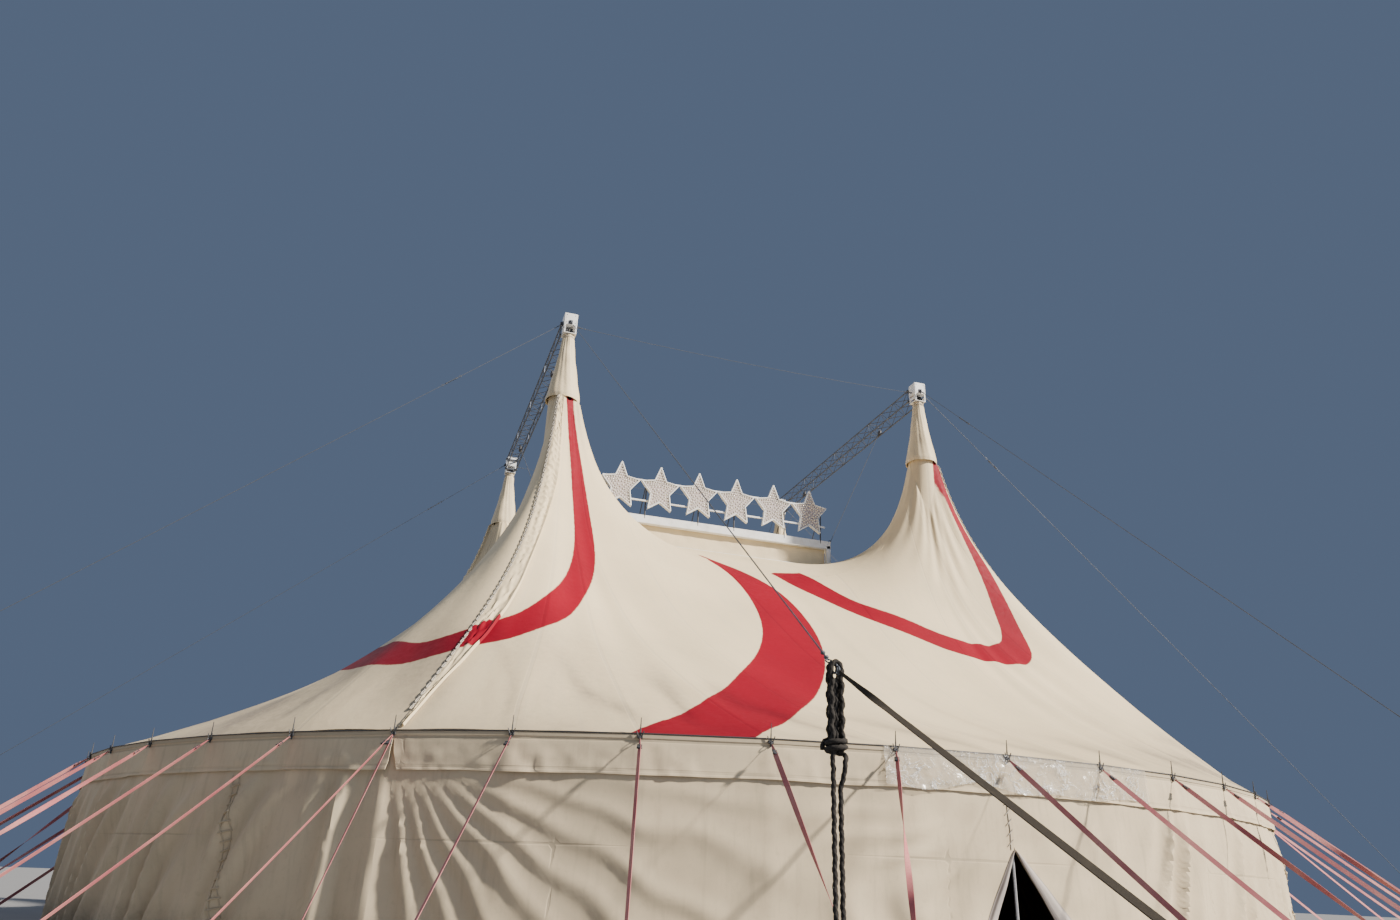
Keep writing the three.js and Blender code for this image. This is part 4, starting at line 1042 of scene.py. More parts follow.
def front_section():
    column = np.linspace(0, COLUMNS, COLUMNS * SECTION_STEPS + 1)
    columns, shares = np.meshgrid(column, np.linspace(0, 1, SECTION_ROWS + 1))
    bays = columns / 2
    start = np.broadcast_to(inner_edge(column), (*shares.shape, 2))
    end = bay_point(EAVE_RADIUS, bays)
    plan = seam_shift(spread(start, end, shares), columns)
    x, y = plan[..., 0], plan[..., 1]
    grid = raised_collar(x, y, canvas_height(x, y), shares)
    edge = np.minimum(np.minimum(columns, COLUMNS - columns) / 1.2, 1)
    ridge = smooth(shares, 0.0, 0.06) + (columns < ARC_LEFT) + (columns > ARC_LEFT + RIDGE)
    fade = edge * np.clip(ridge, 0, 1) * (1 - smooth(shares, 0.985, 1.0)) * smooth(shares, 0.015, 0.1)
    grid = grid + grid_normals(grid) * (roof_relief(x, y, bays, shares) * fade)[..., None]
    step = np.linalg.norm(np.gradient(grid, axis=1), axis=-1) * SECTION_STEPS * 2
    seam = np.abs(bays - np.round(bays)) * step
    uv = stacked(bays * BAY_CLOTH, shares * SECTION_LENGTH)
    return grid, uv, seam, bays, shares


def section_dirt_and_shade(bays, shares, grid):
    """Darkening along the eave, in smears above the pole tops and under the caps, partly dirt and partly
    painted shade: heavier on the bays that lie in shade, and painted shade under the caps.
    """
    x, y = grid[..., 0], grid[..., 1]
    up = (1 - shares) * SECTION_LENGTH
    side = (bays - np.floor(bays)) * BAY_WIDE
    lean = SMEAR_LEAN * up + 0.25 * waves(x, y, 41, 1.4)
    off = np.minimum(np.abs(side + lean - BAY_WIDE), np.abs(side + lean))
    smears = bell(off, 0.10 + 0.10 * up) * smooth(up, 0.02, 0.2) * (1 - smooth(up, 0.5, 1.5))
    smears = smears * (0.4 + 0.25 * waves(x, y, 42, 2.5))
    # Painted shade: the band along the eave is darker on the bays that lie in shade.
    shady = 0.2 + 0.55 * smooth(bays, 5.5, 9) + 0.3 * (1 - smooth(bays, 1, 3.5))
    low = shady * smooth(shares, 0.72, 1.0) * (0.8 + 0.4 * waves(x, y, 43, 1.8))
    # The bell round each mast is painted shade under its cap.
    return low + smears + 0.15 * smooth(shares, 0.985, 1.0) + 0.2 * bell(mast_reach(x, y) - 0.25, 0.12)


def add_canopies():
    grid, uv, seam, bays, shares = front_section()
    grime = section_dirt_and_shade(bays, shares, grid)
    for q, side in enumerate(SIDES):
        section = Builder()
        placed = turned(grid, q)
        add_sheet(section, placed, CANVAS, uv, ribbon=ribbon_field(placed[..., :2]), seam=seam, grime=grime)
        piece = section.make(f"roof_section_{side}", roof_canvas, "roof_canvas", [f"canopy_{side}"])


MIDDLE_ARC = 4
MIDDLE_STEPS = 4
MIDDLE_ROWS = 36
MIDDLE_LENGTH = 2.4


def middle_loop():
    """The middle section's outer edge in plan, round the four masts and along the ridges."""
    arc = np.linspace(0, 1, MIDDLE_ARC * MIDDLE_STEPS + 1)
    round_mast = polar(COLLAR_RADIUS, 90 - 90 * arc) - MAST
    step = np.arange(1, RIDGE * MIDDLE_STEPS) / MIDDLE_STEPS
    ridge = stacked(-(MAST - COLLAR_RADIUS) * np.cos(math.pi * step / RIDGE), -MAST)
    quarter = np.concatenate([round_mast, ridge])
    return np.concatenate([turned(quarter, q) for q in range(4)])


def add_middle():
    loop = middle_loop()
    share = np.linspace(0, 1, MIDDLE_ROWS + 1)
    start = np.broadcast_to(loop, (len(share), len(loop), 2))
    largest = np.abs(start).max(axis=-1, keepdims=True)
    hole = start * (CUPOLA_HALF + CLEARANCE) / largest
    shares = np.broadcast_to(share[:, None], start.shape[:2])
    plan = spread(start, hole, shares)
    x, y = plan[..., 0], plan[..., 1]
    change = CUPOLA_BASE - roof_height(hole[..., 0], hole[..., 1])
    grid = raised_collar(x, y, canvas_height(x, y) + change * shares**2, shares)[:, ::-1]
    x, y = grid[..., 0], grid[..., 1]
    reach, turn = mast_polar(x, y)
    relief = 0.008 * bell(reach - 0.4, 0.5) * np.cos(11 * turn - 5 * reach) + 0.006 * waves(x, y, 8, 1.6)
    fade = smooth(shares, 0.0, 0.1) * (1 - smooth(shares, 0.9, 1.0))
    grid = grid + grid_normals(grid, True) * (relief * fade)[..., None]
    around = np.cumsum(np.linalg.norm(np.roll(grid[0], 1, axis=0) - grid[0], axis=-1))
    middle = Builder()
    uv = stacked(around, shares * MIDDLE_LENGTH)
    # Painted shade and dirt: darker where the canvas meets the cupola.
    add_sheet(middle, grid, CANVAS, uv, closed=True, seam=np.ones(shares.shape),
              ribbon=ribbon_field(grid[..., :2]), grime=0.25 * smooth(shares, 0.93, 1.0))
    piece = middle.make("roof_section_middle", roof_canvas, "roof_canvas", ["canopy_middle"])


# Side walls
WALL_STEPS = 24
WALL_ROWS = 44
CLOTH = 0.006
FAN_APEX = 0.3
FAN_STEP = 15.5
FAN_CLOSING = 0.0004
FOLD_SHAPE = 0.10
UPRIGHT_STEP = 0.40
JOINT_BAYS = 1.58
JOINT_LEAN = 0.085
JOINT_HALF = 0.034
TIE_PITCH = 0.085
TIE_REACH = np.array([-0.05, -0.03, 0.0, 0.03, 0.05])
TIE_RISE = np.array([-0.012, -0.008, 0.006, 0.014, 0.016])


def fold(phase):
    """A soft fold: broad hollows with narrower crests."""
    return 0.8 * np.cos(phase) + 0.2 * np.cos(2 * phase + 0.5)


def wall_relief(bays, z):
    """How far the wall's canvas stands off the pole line, outward in metres.

    Rays of folds leave each laced corner: on its right they lie flatter and closer the further
    they go, and on its left they turn upright. Soft slanting folds fill the bays between.
    """
    side = np.mod(bays, QUARTER)
    right = side * BAY_WIDE
    left = (QUARTER - side) * BAY_WIDE
    drop = WALL_TOP - VALANCE_DEPTH - z
    depth = np.clip(drop, 0, None)
    wander = waves(right, z, 21, 0.9)
    reach = np.hypot(right, depth + FAN_APEX)
    ray = np.degrees(np.arctan2(right, depth + FAN_APEX))
    fan_step = 1 / (1 / FAN_STEP + 2 * FAN_CLOSING * ray)
    fan_size = FOLD_SHAPE * np.minimum(reach, 2.6) * np.radians(fan_step)
    fan_size = fan_size * (1 - 0.6 * smooth(reach, 0.9, 2.1))
    fan = fold(2 * math.pi * (ray / FAN_STEP + FAN_CLOSING * ray**2 + 0.1 * wander)) * fan_size
    fan_share = 1 - smooth(side, 2.3, 3.8)
    soft_line = right * 0.9 + depth * 0.75 + 0.5 * waves(right, z, 22, 1.6)
    soft = 0.7 * fold(2 * math.pi * soft_line / 0.72) * (0.010 + 0.020 * np.clip(depth, 0, 1))
    soft = soft + 0.012 * waves(right, z, 27, 0.5)
    soft_share = smooth(side, 2.3, 3.8) * (1 - smooth(side, 5.6, 6.6))
    lean = 0.42 * depth * np.minimum(left, 1.5) / (1 + 0.3 * depth)
    strength = 0.7 + 0.35 * waves(left, z * 0.2, 24, 0.9)
    upright = fold(2 * math.pi * ((left - lean) / UPRIGHT_STEP + 0.16 * waves(left, z * 0.5, 23, 1.1)))
    upright_size = 1.5 * strength * FOLD_SHAPE * UPRIGHT_STEP * (0.75 + 0.35 * np.clip(depth, 0, 1.2))
    upright = 0.015 + upright * upright_size
    upright_share = smooth(side, 5.6, 6.6)
    fine = 0.0004 * waves(bays * BAY_WIDE, z, 26, 0.16) * smooth(drop, 0.0, 0.3)
    total = fan * fan_share + soft * soft_share + upright * upright_share
    total = total * (0.6 + 0.4 * smooth(z, 0.0, 0.15)) * smooth(drop, -0.1, 0.28)
    total = total + 0.022 * smooth(drop, -0.2, 0.5) + fine
    near_pole = bell(bays - np.round(bays), 0.045)
    total = np.where(total < 0, total * (1 - near_pole), total)
    return np.clip(total, -0.045, 0.09)


def wall_place(bays, z, radius=EAVE_RADIUS):
    """Points of the wall's canvas, with its folds."""
    return off_eave(radius, bays, wall_relief(bays, z), z)


def seam_marks(bays, z):
    """Distance to the nearest stitched seam: one along the middle height, and some upright ones."""
    level = np.abs(z - 1.1 - 0.01 * np.sin(bays * 1.7))
    upright = np.abs(np.mod(bays + 0.1, 3) - 1.5) * BAY_WIDE
    return np.minimum(level, upright)


def door_share(z):
    """How far the entrance is parted at a height: not at all at its top, fully on the ground."""
    return np.clip(1 - z / DOOR_HEIGHT, 0, 1)


def add_wall(name, first, last, parted_start=0.0, parted_end=0.0):
    """A piece of the side wall from one bay to another, cut back where it meets the entrance."""
    count = (last - first) * WALL_STEPS + 1
    share, z = np.meshgrid(np.linspace(0, 1, count), np.linspace(WALL_TOP, 0.0, WALL_ROWS + 1))
    start = first + parted_start * door_share(z)
    end = last - parted_end * door_share(z)
    bays = start + (end - start) * share
    grid = wall_place(bays, z)
    wall = Builder()
    add_sheet(wall, grid, CLOTH, stacked(bays * BAY_WIDE, z), height=z, seam=seam_marks(bays, z))
    piece = wall.make(f"wall_{name}", wall_canvas, "wall_canvas", [f"sidewall_{name}"])


def add_walls():
    add_wall("front_left", 0, DOOR_BAY, parted_end=DOOR_LEFT)
    add_wall("front_right", DOOR_BAY, QUARTER, parted_start=DOOR_RIGHT)
    for q, side in enumerate(SIDES[1:], 1):
        add_wall(side, q * QUARTER, (q + 1) * QUARTER)


def add_wall_joints():
    """A laced joint left of each corner: two roped edges with short ties across."""
    top = WALL_TOP - VALANCE_DEPTH - 0.02
    levels = np.linspace(top, 0.03, 70)
    for q, side in enumerate(SIDES):
        joint = Builder()
        middle = (q + 1) * QUARTER - JOINT_BAYS
        for way in (-1, 1):
            bays = middle + way * JOINT_HALF + JOINT_LEAN * (top - levels)
            add_tube(joint, wall_place(bays, levels, EAVE_RADIUS + 0.004), 0.008, sides=6)
        for z in np.arange(0.12, top - 0.04, TIE_PITCH):
            bays = middle + JOINT_LEAN * (top - z) + TIE_REACH
            add_tube(joint, wall_place(bays, z + TIE_RISE, EAVE_RADIUS + 0.012), 0.009, sides=6)
        joint.make(f"wall_joint_{side}", valance_canvas, "wall_canvas")


# Valance
VALANCE_ROWS = 14
VALANCE_RADIUS = 9.0143
VALANCE_CLOTH = 0.005
FOIL = 0.0006
VALANCE_GAP = 0.07
UPPER_HEM = 0.06
LOWER_HEM = VALANCE_DEPTH - 0.035
FOIL_START = 3.9
FOIL_END = 6.6


def valance_relief(bays, drop):
    """The valance's waves: puckers along its hem and creases fanning from the pole tops."""
    x = bays * BAY_WIDE
    share = drop / VALANCE_DEPTH
    side = (bays - np.round(bays)) * BAY_WIDE
    spokes = 0.007 * np.cos(7 * np.arctan2(side, drop + 0.03)) * bell(np.hypot(side, drop) - 0.2, 0.22)
    slow = 0.009 * waves(x, drop * 0.5, 31, 0.7) * share
    close = 0.006 * waves(x, drop, 32, 0.15) * smooth(share, 0.2, 0.8)
    puckers = 0.0024 * np.sin(2 * math.pi * x / 0.055 + 2 * waves(x, drop, 33, 0.5))
    puckers = puckers * smooth(share, 0.82, 0.93)
    hem = -0.003 * bell(drop - UPPER_HEM, 0.008) - 0.004 * bell(drop - LOWER_HEM, 0.007)
    flare = 0.016 * share**1.6
    return flare + np.maximum(spokes * share + slow + close, -0.006 * share) + puckers + hem


def add_valances():
    count = QUARTER * WALL_STEPS + 1
    for q, side in enumerate(SIDES):
        first, last = q * QUARTER, (q + 1) * QUARTER
        bays, share = np.meshgrid(np.linspace(first, last, count), np.linspace(0, 1, VALANCE_ROWS + 1) ** 0.9)
        bays = bays + VALANCE_GAP * share**1.5 * (1 - smooth(bays - first, 0.0, 0.7))
        ragged = 1 + 0.012 * waves(bays * BAY_WIDE, 0, 34, 0.9)
        drop = share * VALANCE_DEPTH * np.where(share > 0.5, ragged, 1)
        loose_end = 0.03 * share * bell(last - bays, 0.35)
        grid = off_eave(VALANCE_RADIUS, bays, valance_relief(bays, drop) + loose_end, EAVE - drop)
        hem = np.minimum(np.abs(drop - UPPER_HEM), np.abs(drop - LOWER_HEM))
        seam = np.minimum(hem, np.abs(np.mod(bays + 1.9, 4) - 2) * BAY_WIDE)
        valance = Builder()
        uv = stacked(bays * BAY_WIDE, -drop)
        add_sheet(valance, grid, VALANCE_CLOTH, uv, height=EAVE - drop, seam=seam)
        piece = valance.make(f"valance_skirt_{side}", valance_canvas, "wall_canvas", [f"valance_{side}"])


def add_foil():
    """A clear plastic sheet taped over the valance above the entrance."""
    bays, share = np.meshgrid(np.linspace(FOIL_START, FOIL_END, 150), np.linspace(0, 1, 22))
    x = bays * BAY_WIDE
    drop = -0.004 + share * (0.335 + 0.03 * waves(x, 0, 71, 0.8))
    crumple = 0.011 * waves(x, drop, 72, 0.3)
    crumple = crumple + 0.004 * np.abs(waves(x, drop, 73, 0.14)) * smooth(share, 0.1, 0.4)
    flare = 0.012 + 0.020 * np.clip(drop / VALANCE_DEPTH, 0, 1) ** 1.6
    lift = flare + np.maximum(crumple, -0.002) * smooth(share, 0, 0.25)
    foil = Builder()
    add_sheet(foil, off_eave(VALANCE_RADIUS, bays, lift, EAVE - drop), FOIL, stacked(x, drop))
    piece = foil.make("valance_foil", clear_foil, "wall_canvas")


# Entrance: the two cut edges of the wall are turned back over its outer face
RIGHT_FLAP = 0.27
LEFT_FLAP = 0.13
SLIT_BAY = DOOR_BAY - 0.03
LACE_PITCH = 0.09


def add_door_flap(name, way, parted, widest, replaces):
    across, z = np.meshgrid(np.linspace(0, 1, 15), np.linspace(DOOR_HEIGHT, 0.0, 44))
    open_share = door_share(z)
    edge = DOOR_BAY + way * parted * open_share
    width = 0.006 + widest * open_share**0.7
    bays = edge + way * (across * width - 0.012 * open_share)
    roll = 0.030 * np.sin(math.pi * np.clip(across * 1.15, 0, 1)) ** 0.6 * (0.25 + 0.75 * open_share)
    folds = 0.008 * np.sin(2 * math.pi * (across * 1.6 + 0.4 * z)) * open_share * across
    lift = 0.008 + roll + folds + np.maximum(wall_relief(bays, z), 0)
    grid = off_eave(EAVE_RADIUS, bays, lift, z)
    if way < 0:
        grid = grid[:, ::-1]
    uv = stacked(across * width, z)
    flap = Builder()
    add_sheet(flap, grid, 0.003, uv, height=z, seam=np.abs(across - 0.1) * width)
    piece = flap.make(name, flap_canvas, "wall_canvas", replaces)


def moved_out(points, distance):
    """Points near the eave polygon, moved away from the tent's axis."""
    return points * (1 + distance / EAVE_RADIUS * np.array([1, 1, 0]))


def add_door():
    add_door_flap("door_flap_right", 1, DOOR_RIGHT, RIGHT_FLAP, ["entrance_flap"])
    add_door_flap("door_flap_left", -1, DOOR_LEFT, LEFT_FLAP, ())
    lacing = Builder()
    top = WALL_TOP - VALANCE_DEPTH
    levels = np.linspace(DOOR_HEIGHT, top, 60)
    slit = wall_place(np.full_like(levels, SLIT_BAY), levels)
    add_tube(lacing, moved_out(slit, 0.004), 0.004, sides=6)
    across = np.array([-1, 0, 1])
    for z in np.arange(DOOR_HEIGHT + 0.06, top - 0.03, LACE_PITCH):
        tie = wall_place(SLIT_BAY + 0.025 * across, z + 0.03 * across)
        add_tube(lacing, moved_out(tie, 0.007), 0.004, sides=6)
    lacing.make("door_lacing", pale_rope, "black_rope")


# Eave fittings: bolt rope, belt, spikes with brackets, straps with ratchets, and stakes
def add_eave(q, side):
    """The bolt rope along the eave, and each pole top's spike, bracket and ring."""
    fittings = Builder()
    first = q * QUARTER
    x, y = bay_point(BOLT_ROPE_RADIUS, np.linspace(first, first + QUARTER, QUARTER * 2 + 1)).T
    add_tube(fittings, stacked(x, y, EAVE + 0.002), 0.006)
    for bay in range(first, first + QUARTER):
        spike = [(0.0, 0, 1.99), (0.0, 0, EAVE + 0.02), (0.004, 0.002, EAVE + 0.14)]
        add_tube(fittings, at_bay(spike, bay), [0.007, 0.007, 0.0035])
        for way in (-1, 1):
            arm = [(0.0, 0, 2.02), (0.012, way * 0.022, 2.045), (0.014, way * 0.034, 2.082)]
            add_tube(fittings, at_bay(arm, bay), 0.005, sides=6)
        turn = turn_z(bay_azimuth(bay))
        add_box(fittings, at_bay((0.004, 0, 2.03), bay), (0.014, 0.05, 0.03), 0.003, turn)
        add_ring(fittings, at_bay((0.02, 0, 2.015), bay), 0.016, 0.0035, turn[:, 1])
    fittings.make(f"eave_fittings_{side}", dark_steel, "dark_steel")


def add_belt(q, side):
    """The flat belt along the eave, just outside the pole tops."""
    first = q * QUARTER
    x, y = bay_point(BELT_RADIUS, np.linspace(first, first + QUARTER, QUARTER + 1)).T
    low, high = stacked(x, y, BELT_BOTTOM), stacked(x, y, BELT_BOTTOM + BELT_WIDTH)
    outward = (1.0003, 1.0003, 1)
    corners = np.stack([low, low * outward, high * outward, high], axis=1)
    belt = Builder()
    belt.add(corners, bar_faces(len(x)))
    belt.make(f"edge_belt_{side}", valance_canvas, "strap_webbing")


# The webbing stands nearly on edge, and some straps have turns in them
STRAP_TWIST = 0.87
HALF_TURNS = {3: 0.5, 4: 1, 7: 0.5, 9: 1}
STRAP_START = 0.022
STRAP_TOP = 2.01
STRAP_FOOT = 0.075
RATCHET_PLACE = 0.13
RATCHET = [(0, (0.06, 0.046, 0.008)), (0.022, (0.012, 0.05, 0.018)), (-0.022, (0.012, 0.04, 0.014))]


def add_strap(straps, buckles, bay, turn, seed):
    """One strap from its pole top to its stake, with a ratchet below the eave."""
    draw = np.random.default_rng(seed)
    x, y = polar(STRAP_REACH, turn)
    start = np.array([STRAP_START, STRAP_START * math.sin(math.radians(turn)), STRAP_TOP])
    end = np.array([x, y, STRAP_FOOT])
    share = np.linspace(0, 1, 40)
    line = start + (end - start) * share[:, None]
    line[:, 2] -= 0.012 * np.sin(math.pi * share)
    ahead = unit(end - start)
    lazy = draw.uniform(-0.15, 0.15) + draw.uniform(-0.25, 0.25) * share
    twist = STRAP_TWIST + lazy + math.pi * HALF_TURNS.get(bay % QUARTER, 0) * smooth(share, 0.15, 0.8)
    half = 0.024 * np.minimum(1, 0.25 + share * 14)
    corners, faces, uv = webbing_strip(line, ahead, twist, half, 0.0018, 3.1)
    straps.add(at_bay(corners, bay), faces, uv)
    laid = basis(ahead)
    for shift, size in RATCHET:
        centre = start + ahead * (RATCHET_PLACE + shift) + laid[:, 2] * 0.006
        add_box(buckles, at_bay(centre, bay), size, 0.003, turn_z(bay_azimuth(bay)) @ laid)
    stake = end * (1, 1, 0)
    head = stake + (-0.02, 0, 0.17)
    add_tube(buckles, at_bay([stake, (stake + head) / 2, head], bay), 0.011, sides=10)
    add_tube(buckles, at_bay([head, head + (0, 0, 0.012)], bay), 0.017, sides=10)
    add_ring(buckles, at_bay(end, bay), 0.02, 0.004, steps=14, sides=6)


def add_straps():
    for q, side in enumerate(SIDES):
        add_eave(q, side)
        add_belt(q, side)
        straps, buckles = Builder(), Builder()
        first = q * QUARTER
        add_strap(straps, buckles, first, SEAM_STRAP_TURN, 500 + first)
        for bay in range(first, first + QUARTER):
            add_strap(straps, buckles, bay, STRAP_TURNS[bay % QUARTER], 300 + bay)
        straps.make(f"straps_{side}", webbing, "strap_webbing", [f"guy_straps_{side}"])
        buckles.make(f"buckles_and_stakes_{side}", dark_steel, "dark_steel")


# Caps over the tops of the cones
CAP_ROWS = 48
CAP_COLUMNS = 96
CAP_PANELS = 6
CAP_MEAN = 0.2
CAP_LENGTH = 1.2
TIE_RADIUS = 0.09


def cap_size(share, angle, i):
    """A cap's radius with its folds, drawn in above its hem and under its tie."""
    radius = CAP_TOP_RADIUS + (CAP_BASE_RADIUS - CAP_TOP_RADIUS) * (1 - share) ** CAP_CURVE
    deep = 0.004 + 0.012 * (1 - share) * smooth(share, 0.0, 0.12) + 0.004 * bell(share - 0.96, 0.06)
    folds = fold(5 * angle + 1.3 * i + 1.5 * share) * deep
    folds = folds + 0.006 * waves(angle * 0.25, share * 1.2, 40 + i, 0.35)
    folds = folds + 0.003 * np.cos(17 * angle + 6 * share)
    drawn_in = 0.008 + 0.012 * bell(share - 0.965, 0.012) + 0.016 * bell(share, 0.03)
    return np.maximum(radius + folds * 0.7 - drawn_in, 0.079)


def add_caps():
    share = np.linspace(0, 1, CAP_ROWS)[:, None]
    angle = np.linspace(0, 2 * math.pi, CAP_COLUMNS, endpoint=False)
    tie_turn = np.linspace(0, 2 * math.pi, 40, endpoint=False)
    for i, ((sx, sy), name) in enumerate(zip(MASTS, MAST_NAMES)):
        mast = np.array([sx * MAST, sy * MAST, 0])
        size = cap_size(share, angle, i)
        z = CAP_LOW + (CAP_HIGH - CAP_LOW) * share + 0.008 * np.sin(2 * angle + i) * (1 - share) ** 4
        grid = stacked(size * np.cos(angle), size * np.sin(angle), np.clip(z, CAP_LOW, CAP_HIGH))[::-1]
        turned_in = grid[-1:] * (0.94, 0.94, 0) + (0, 0, CAP_LOW + 0.012)
        shares = np.concatenate([np.broadcast_to(share, size.shape)[::-1], np.full((1, CAP_COLUMNS), -0.02)])
        hem = np.abs(shares - 0.045) * CAP_LENGTH
        panel = np.abs(np.mod(angle / (2 * math.pi) * CAP_PANELS + 0.5, 1) - 0.5) / CAP_PANELS
        panel = panel * 2 * math.pi * np.concatenate([size[::-1], size[:1]])
        cap = Builder()
        add_sheet(cap, np.concatenate([grid, turned_in]) + mast, 0.004,
                  stacked(angle * CAP_MEAN, shares * CAP_LENGTH), closed=True, seam=np.minimum(hem, panel))
        piece = cap.make(f"cap_{name}", cap_canvas, "roof_canvas", [f"mast_cap_{name}"])
        tie = Builder()
        for drop in (0.045, 0.03):
            ring = stacked(TIE_RADIUS * np.cos(tie_turn), TIE_RADIUS * np.sin(tie_turn), CAP_HIGH - drop)
            add_tube(tie, ring + mast, 0.006, closed=True)
        tie.make(f"cap_tie_{name}", pale_rope, "roof_canvas")


# Laced seams: a flap with a raised edge over each seam, and the rope loops beside it
LACING_PITCH = 0.115
LACING_REACH = np.array([-0.42, -0.2, 0.15, 0.5, 0.62, 0.5, 0.1, -0.25, -0.4])
LACING_SIDE = np.array([0.016, 0.004, -0.006, -0.004, 0.004, 0.013, 0.012, -0.014, -0.03])
LACING_HEIGHT = np.array([0.004, 0.012, 0.016, 0.02, 0.02, 0.018, 0.014, 0.010, 0.004])


def seam_line(share):
    """A point of the front left seam on the roof, at a share of its way from mast to eave."""
    start = polar(COLLAR_RADIUS, SEAM_AZIMUTH) - MAST
    end = bay_point(EAVE_RADIUS, 0)
    share = np.asarray(share, float)
    plan = spread(np.broadcast_to(start, (*share.shape, 2)), np.broadcast_to(end, (*share.shape, 2)), share)
    reach = np.hypot(plan[..., 0] + MAST, plan[..., 1] + MAST)
    return plan + polar(1.0, SEAM_AZIMUTH + 90) * seam_bow(reach)[..., None]


def seam_grid(share, offset):
    """Roof points beside the seam: offset is the sideways distance in metres."""
    step = 1e-3
    ahead = unit(seam_line(np.clip(share + step, 0, 1)) - seam_line(np.clip(share - step, 0, 1)))
    beside = stacked(-ahead[..., 1], ahead[..., 0])
    plan = seam_line(share) + beside * np.asarray(offset)[..., None]
    radius = np.linalg.norm(plan, axis=-1, keepdims=True)
    plan = plan * np.minimum(1, EAVE_RADIUS * 0.9985 / np.maximum(radius, 1e-6))
    x, y = plan[..., 0], plan[..., 1]
    return stacked(x, y, canvas_height(x, y))


def roof_lifted(points, height):
    """Roof points moved off the canvas along its normal."""
    x, y = points[..., 0], points[..., 1]
    step = 0.01
    slope_x = (canvas_height(x + step, y) - canvas_height(x - step, y)) / (2 * step)
    slope_y = (canvas_height(x, y + step) - canvas_height(x, y - step)) / (2 * step)
    return points + unit(stacked(-slope_x, -slope_y, 1)) * height[..., None]


def seam_flap():
    """The front left flap: its points, their UVs, and each one's share of the way across it."""
    across, share = np.meshgrid(np.linspace(0, 1, 17), np.linspace(0.035, 0.998, 260))
    near_eave = smooth(share, 0.72, 0.88)
    width = 0.05 + 0.13 * smooth(share, 0.05, 0.5) + 0.05 * bell(share - 0.86, 0.08)
    width = width - 0.12 * smooth(share, 0.9, 1.0)
    base = seam_grid(share, 0.012 + across * width)
    along = lengths_along(base[:, 0])[:, None]
    edge_lift = 0.022 * bell(across - 0.93, 0.07) * (1 - smooth(across, 0.97, 1.0))
    cross_folds = fold(2 * math.pi * (along + 0.12 * across + 0.03 * waves(along, across, 53, 0.4)) / 0.13)
    long_folds = fold(2 * math.pi * (1.7 * across + 0.9 * along + 0.3 * waves(along, across, 54, 0.5)))
    wrinkles = 0.010 * cross_folds * (1 - near_eave) + 0.014 * long_folds * near_eave
    wrinkles = wrinkles + 0.006 * waves(along, across * 0.4, 51, 0.14)
    wrinkles = wrinkles * np.sin(math.pi * across)
    height = 0.010 + edge_lift + wrinkles + 0.004 * waves(along, across, 52, 0.5)
    height = np.maximum(height, 0.003) * smooth(share, 0.03, 0.06)
    height = height - 0.006 * smooth(across, 0.96, 1.0)
    return roof_lifted(base, height), stacked(across * 0.2, along), across


def add_seams():
    grid, uv, across = seam_flap()
    # Painted shade and dirt: darker along the flap's edge beside the lacing.
    grime = 0.5 * smooth(across, 0.25, 0.0)
    lacing = lacing_paths()
    for q, name in enumerate(MAST_NAMES):
        placed = turned(grid[:, ::-1], q)
        flap = Builder()
        add_sheet(flap, placed, 0.003, uv[:, ::-1], seam=np.ones(across.shape),
                  ribbon=ribbon_field(placed[..., :2]), grime=grime[:, ::-1])
        piece = flap.make(f"seam_flap_{name}", roof_canvas, "roof_canvas")
        rope = Builder()
        for path in lacing:
            add_tube(rope, turned(path, q), 0.0055, sides=6)
        rope.make(f"seam_lacing_{name}", pale_rope, "black_rope")


def lacing_paths():
    """Rope loops along the seam: each comes up beside it and lies over the next one."""
    fine = np.linspace(0.03, 0.985, 900)
    length = lengths_along(seam_grid(fine, np.zeros_like(fine)))
    paths = []
    for i in range(int(length[-1] / LACING_PITCH)):
        reaches = (i + 0.5 + LACING_REACH) * LACING_PITCH
        points = seam_grid(np.interp(reaches, length, fine), LACING_SIDE)
        paths.append(curved(roof_lifted(points, LACING_HEIGHT), 2))
    line = seam_grid(fine[::6], np.full(len(fine[::6]), -0.004))
    paths.append(roof_lifted(line, np.full(len(line), 0.003)))
    return paths


# Trusses between the mast heads
TRUSS_BAYS = 24
TRUSS_FACES = [(MASTS[i], MASTS[(i + 1) % 4]) for i in range(4)]
TRUSS_GAP = 0.03
TRUSS_HALF = TRUSS_SIZE / 2 - 0.014
TRUSS_CHORD = 0.0125
TRUSS_BAR = 0.006
TRUSS_SLEEVE = 0.018


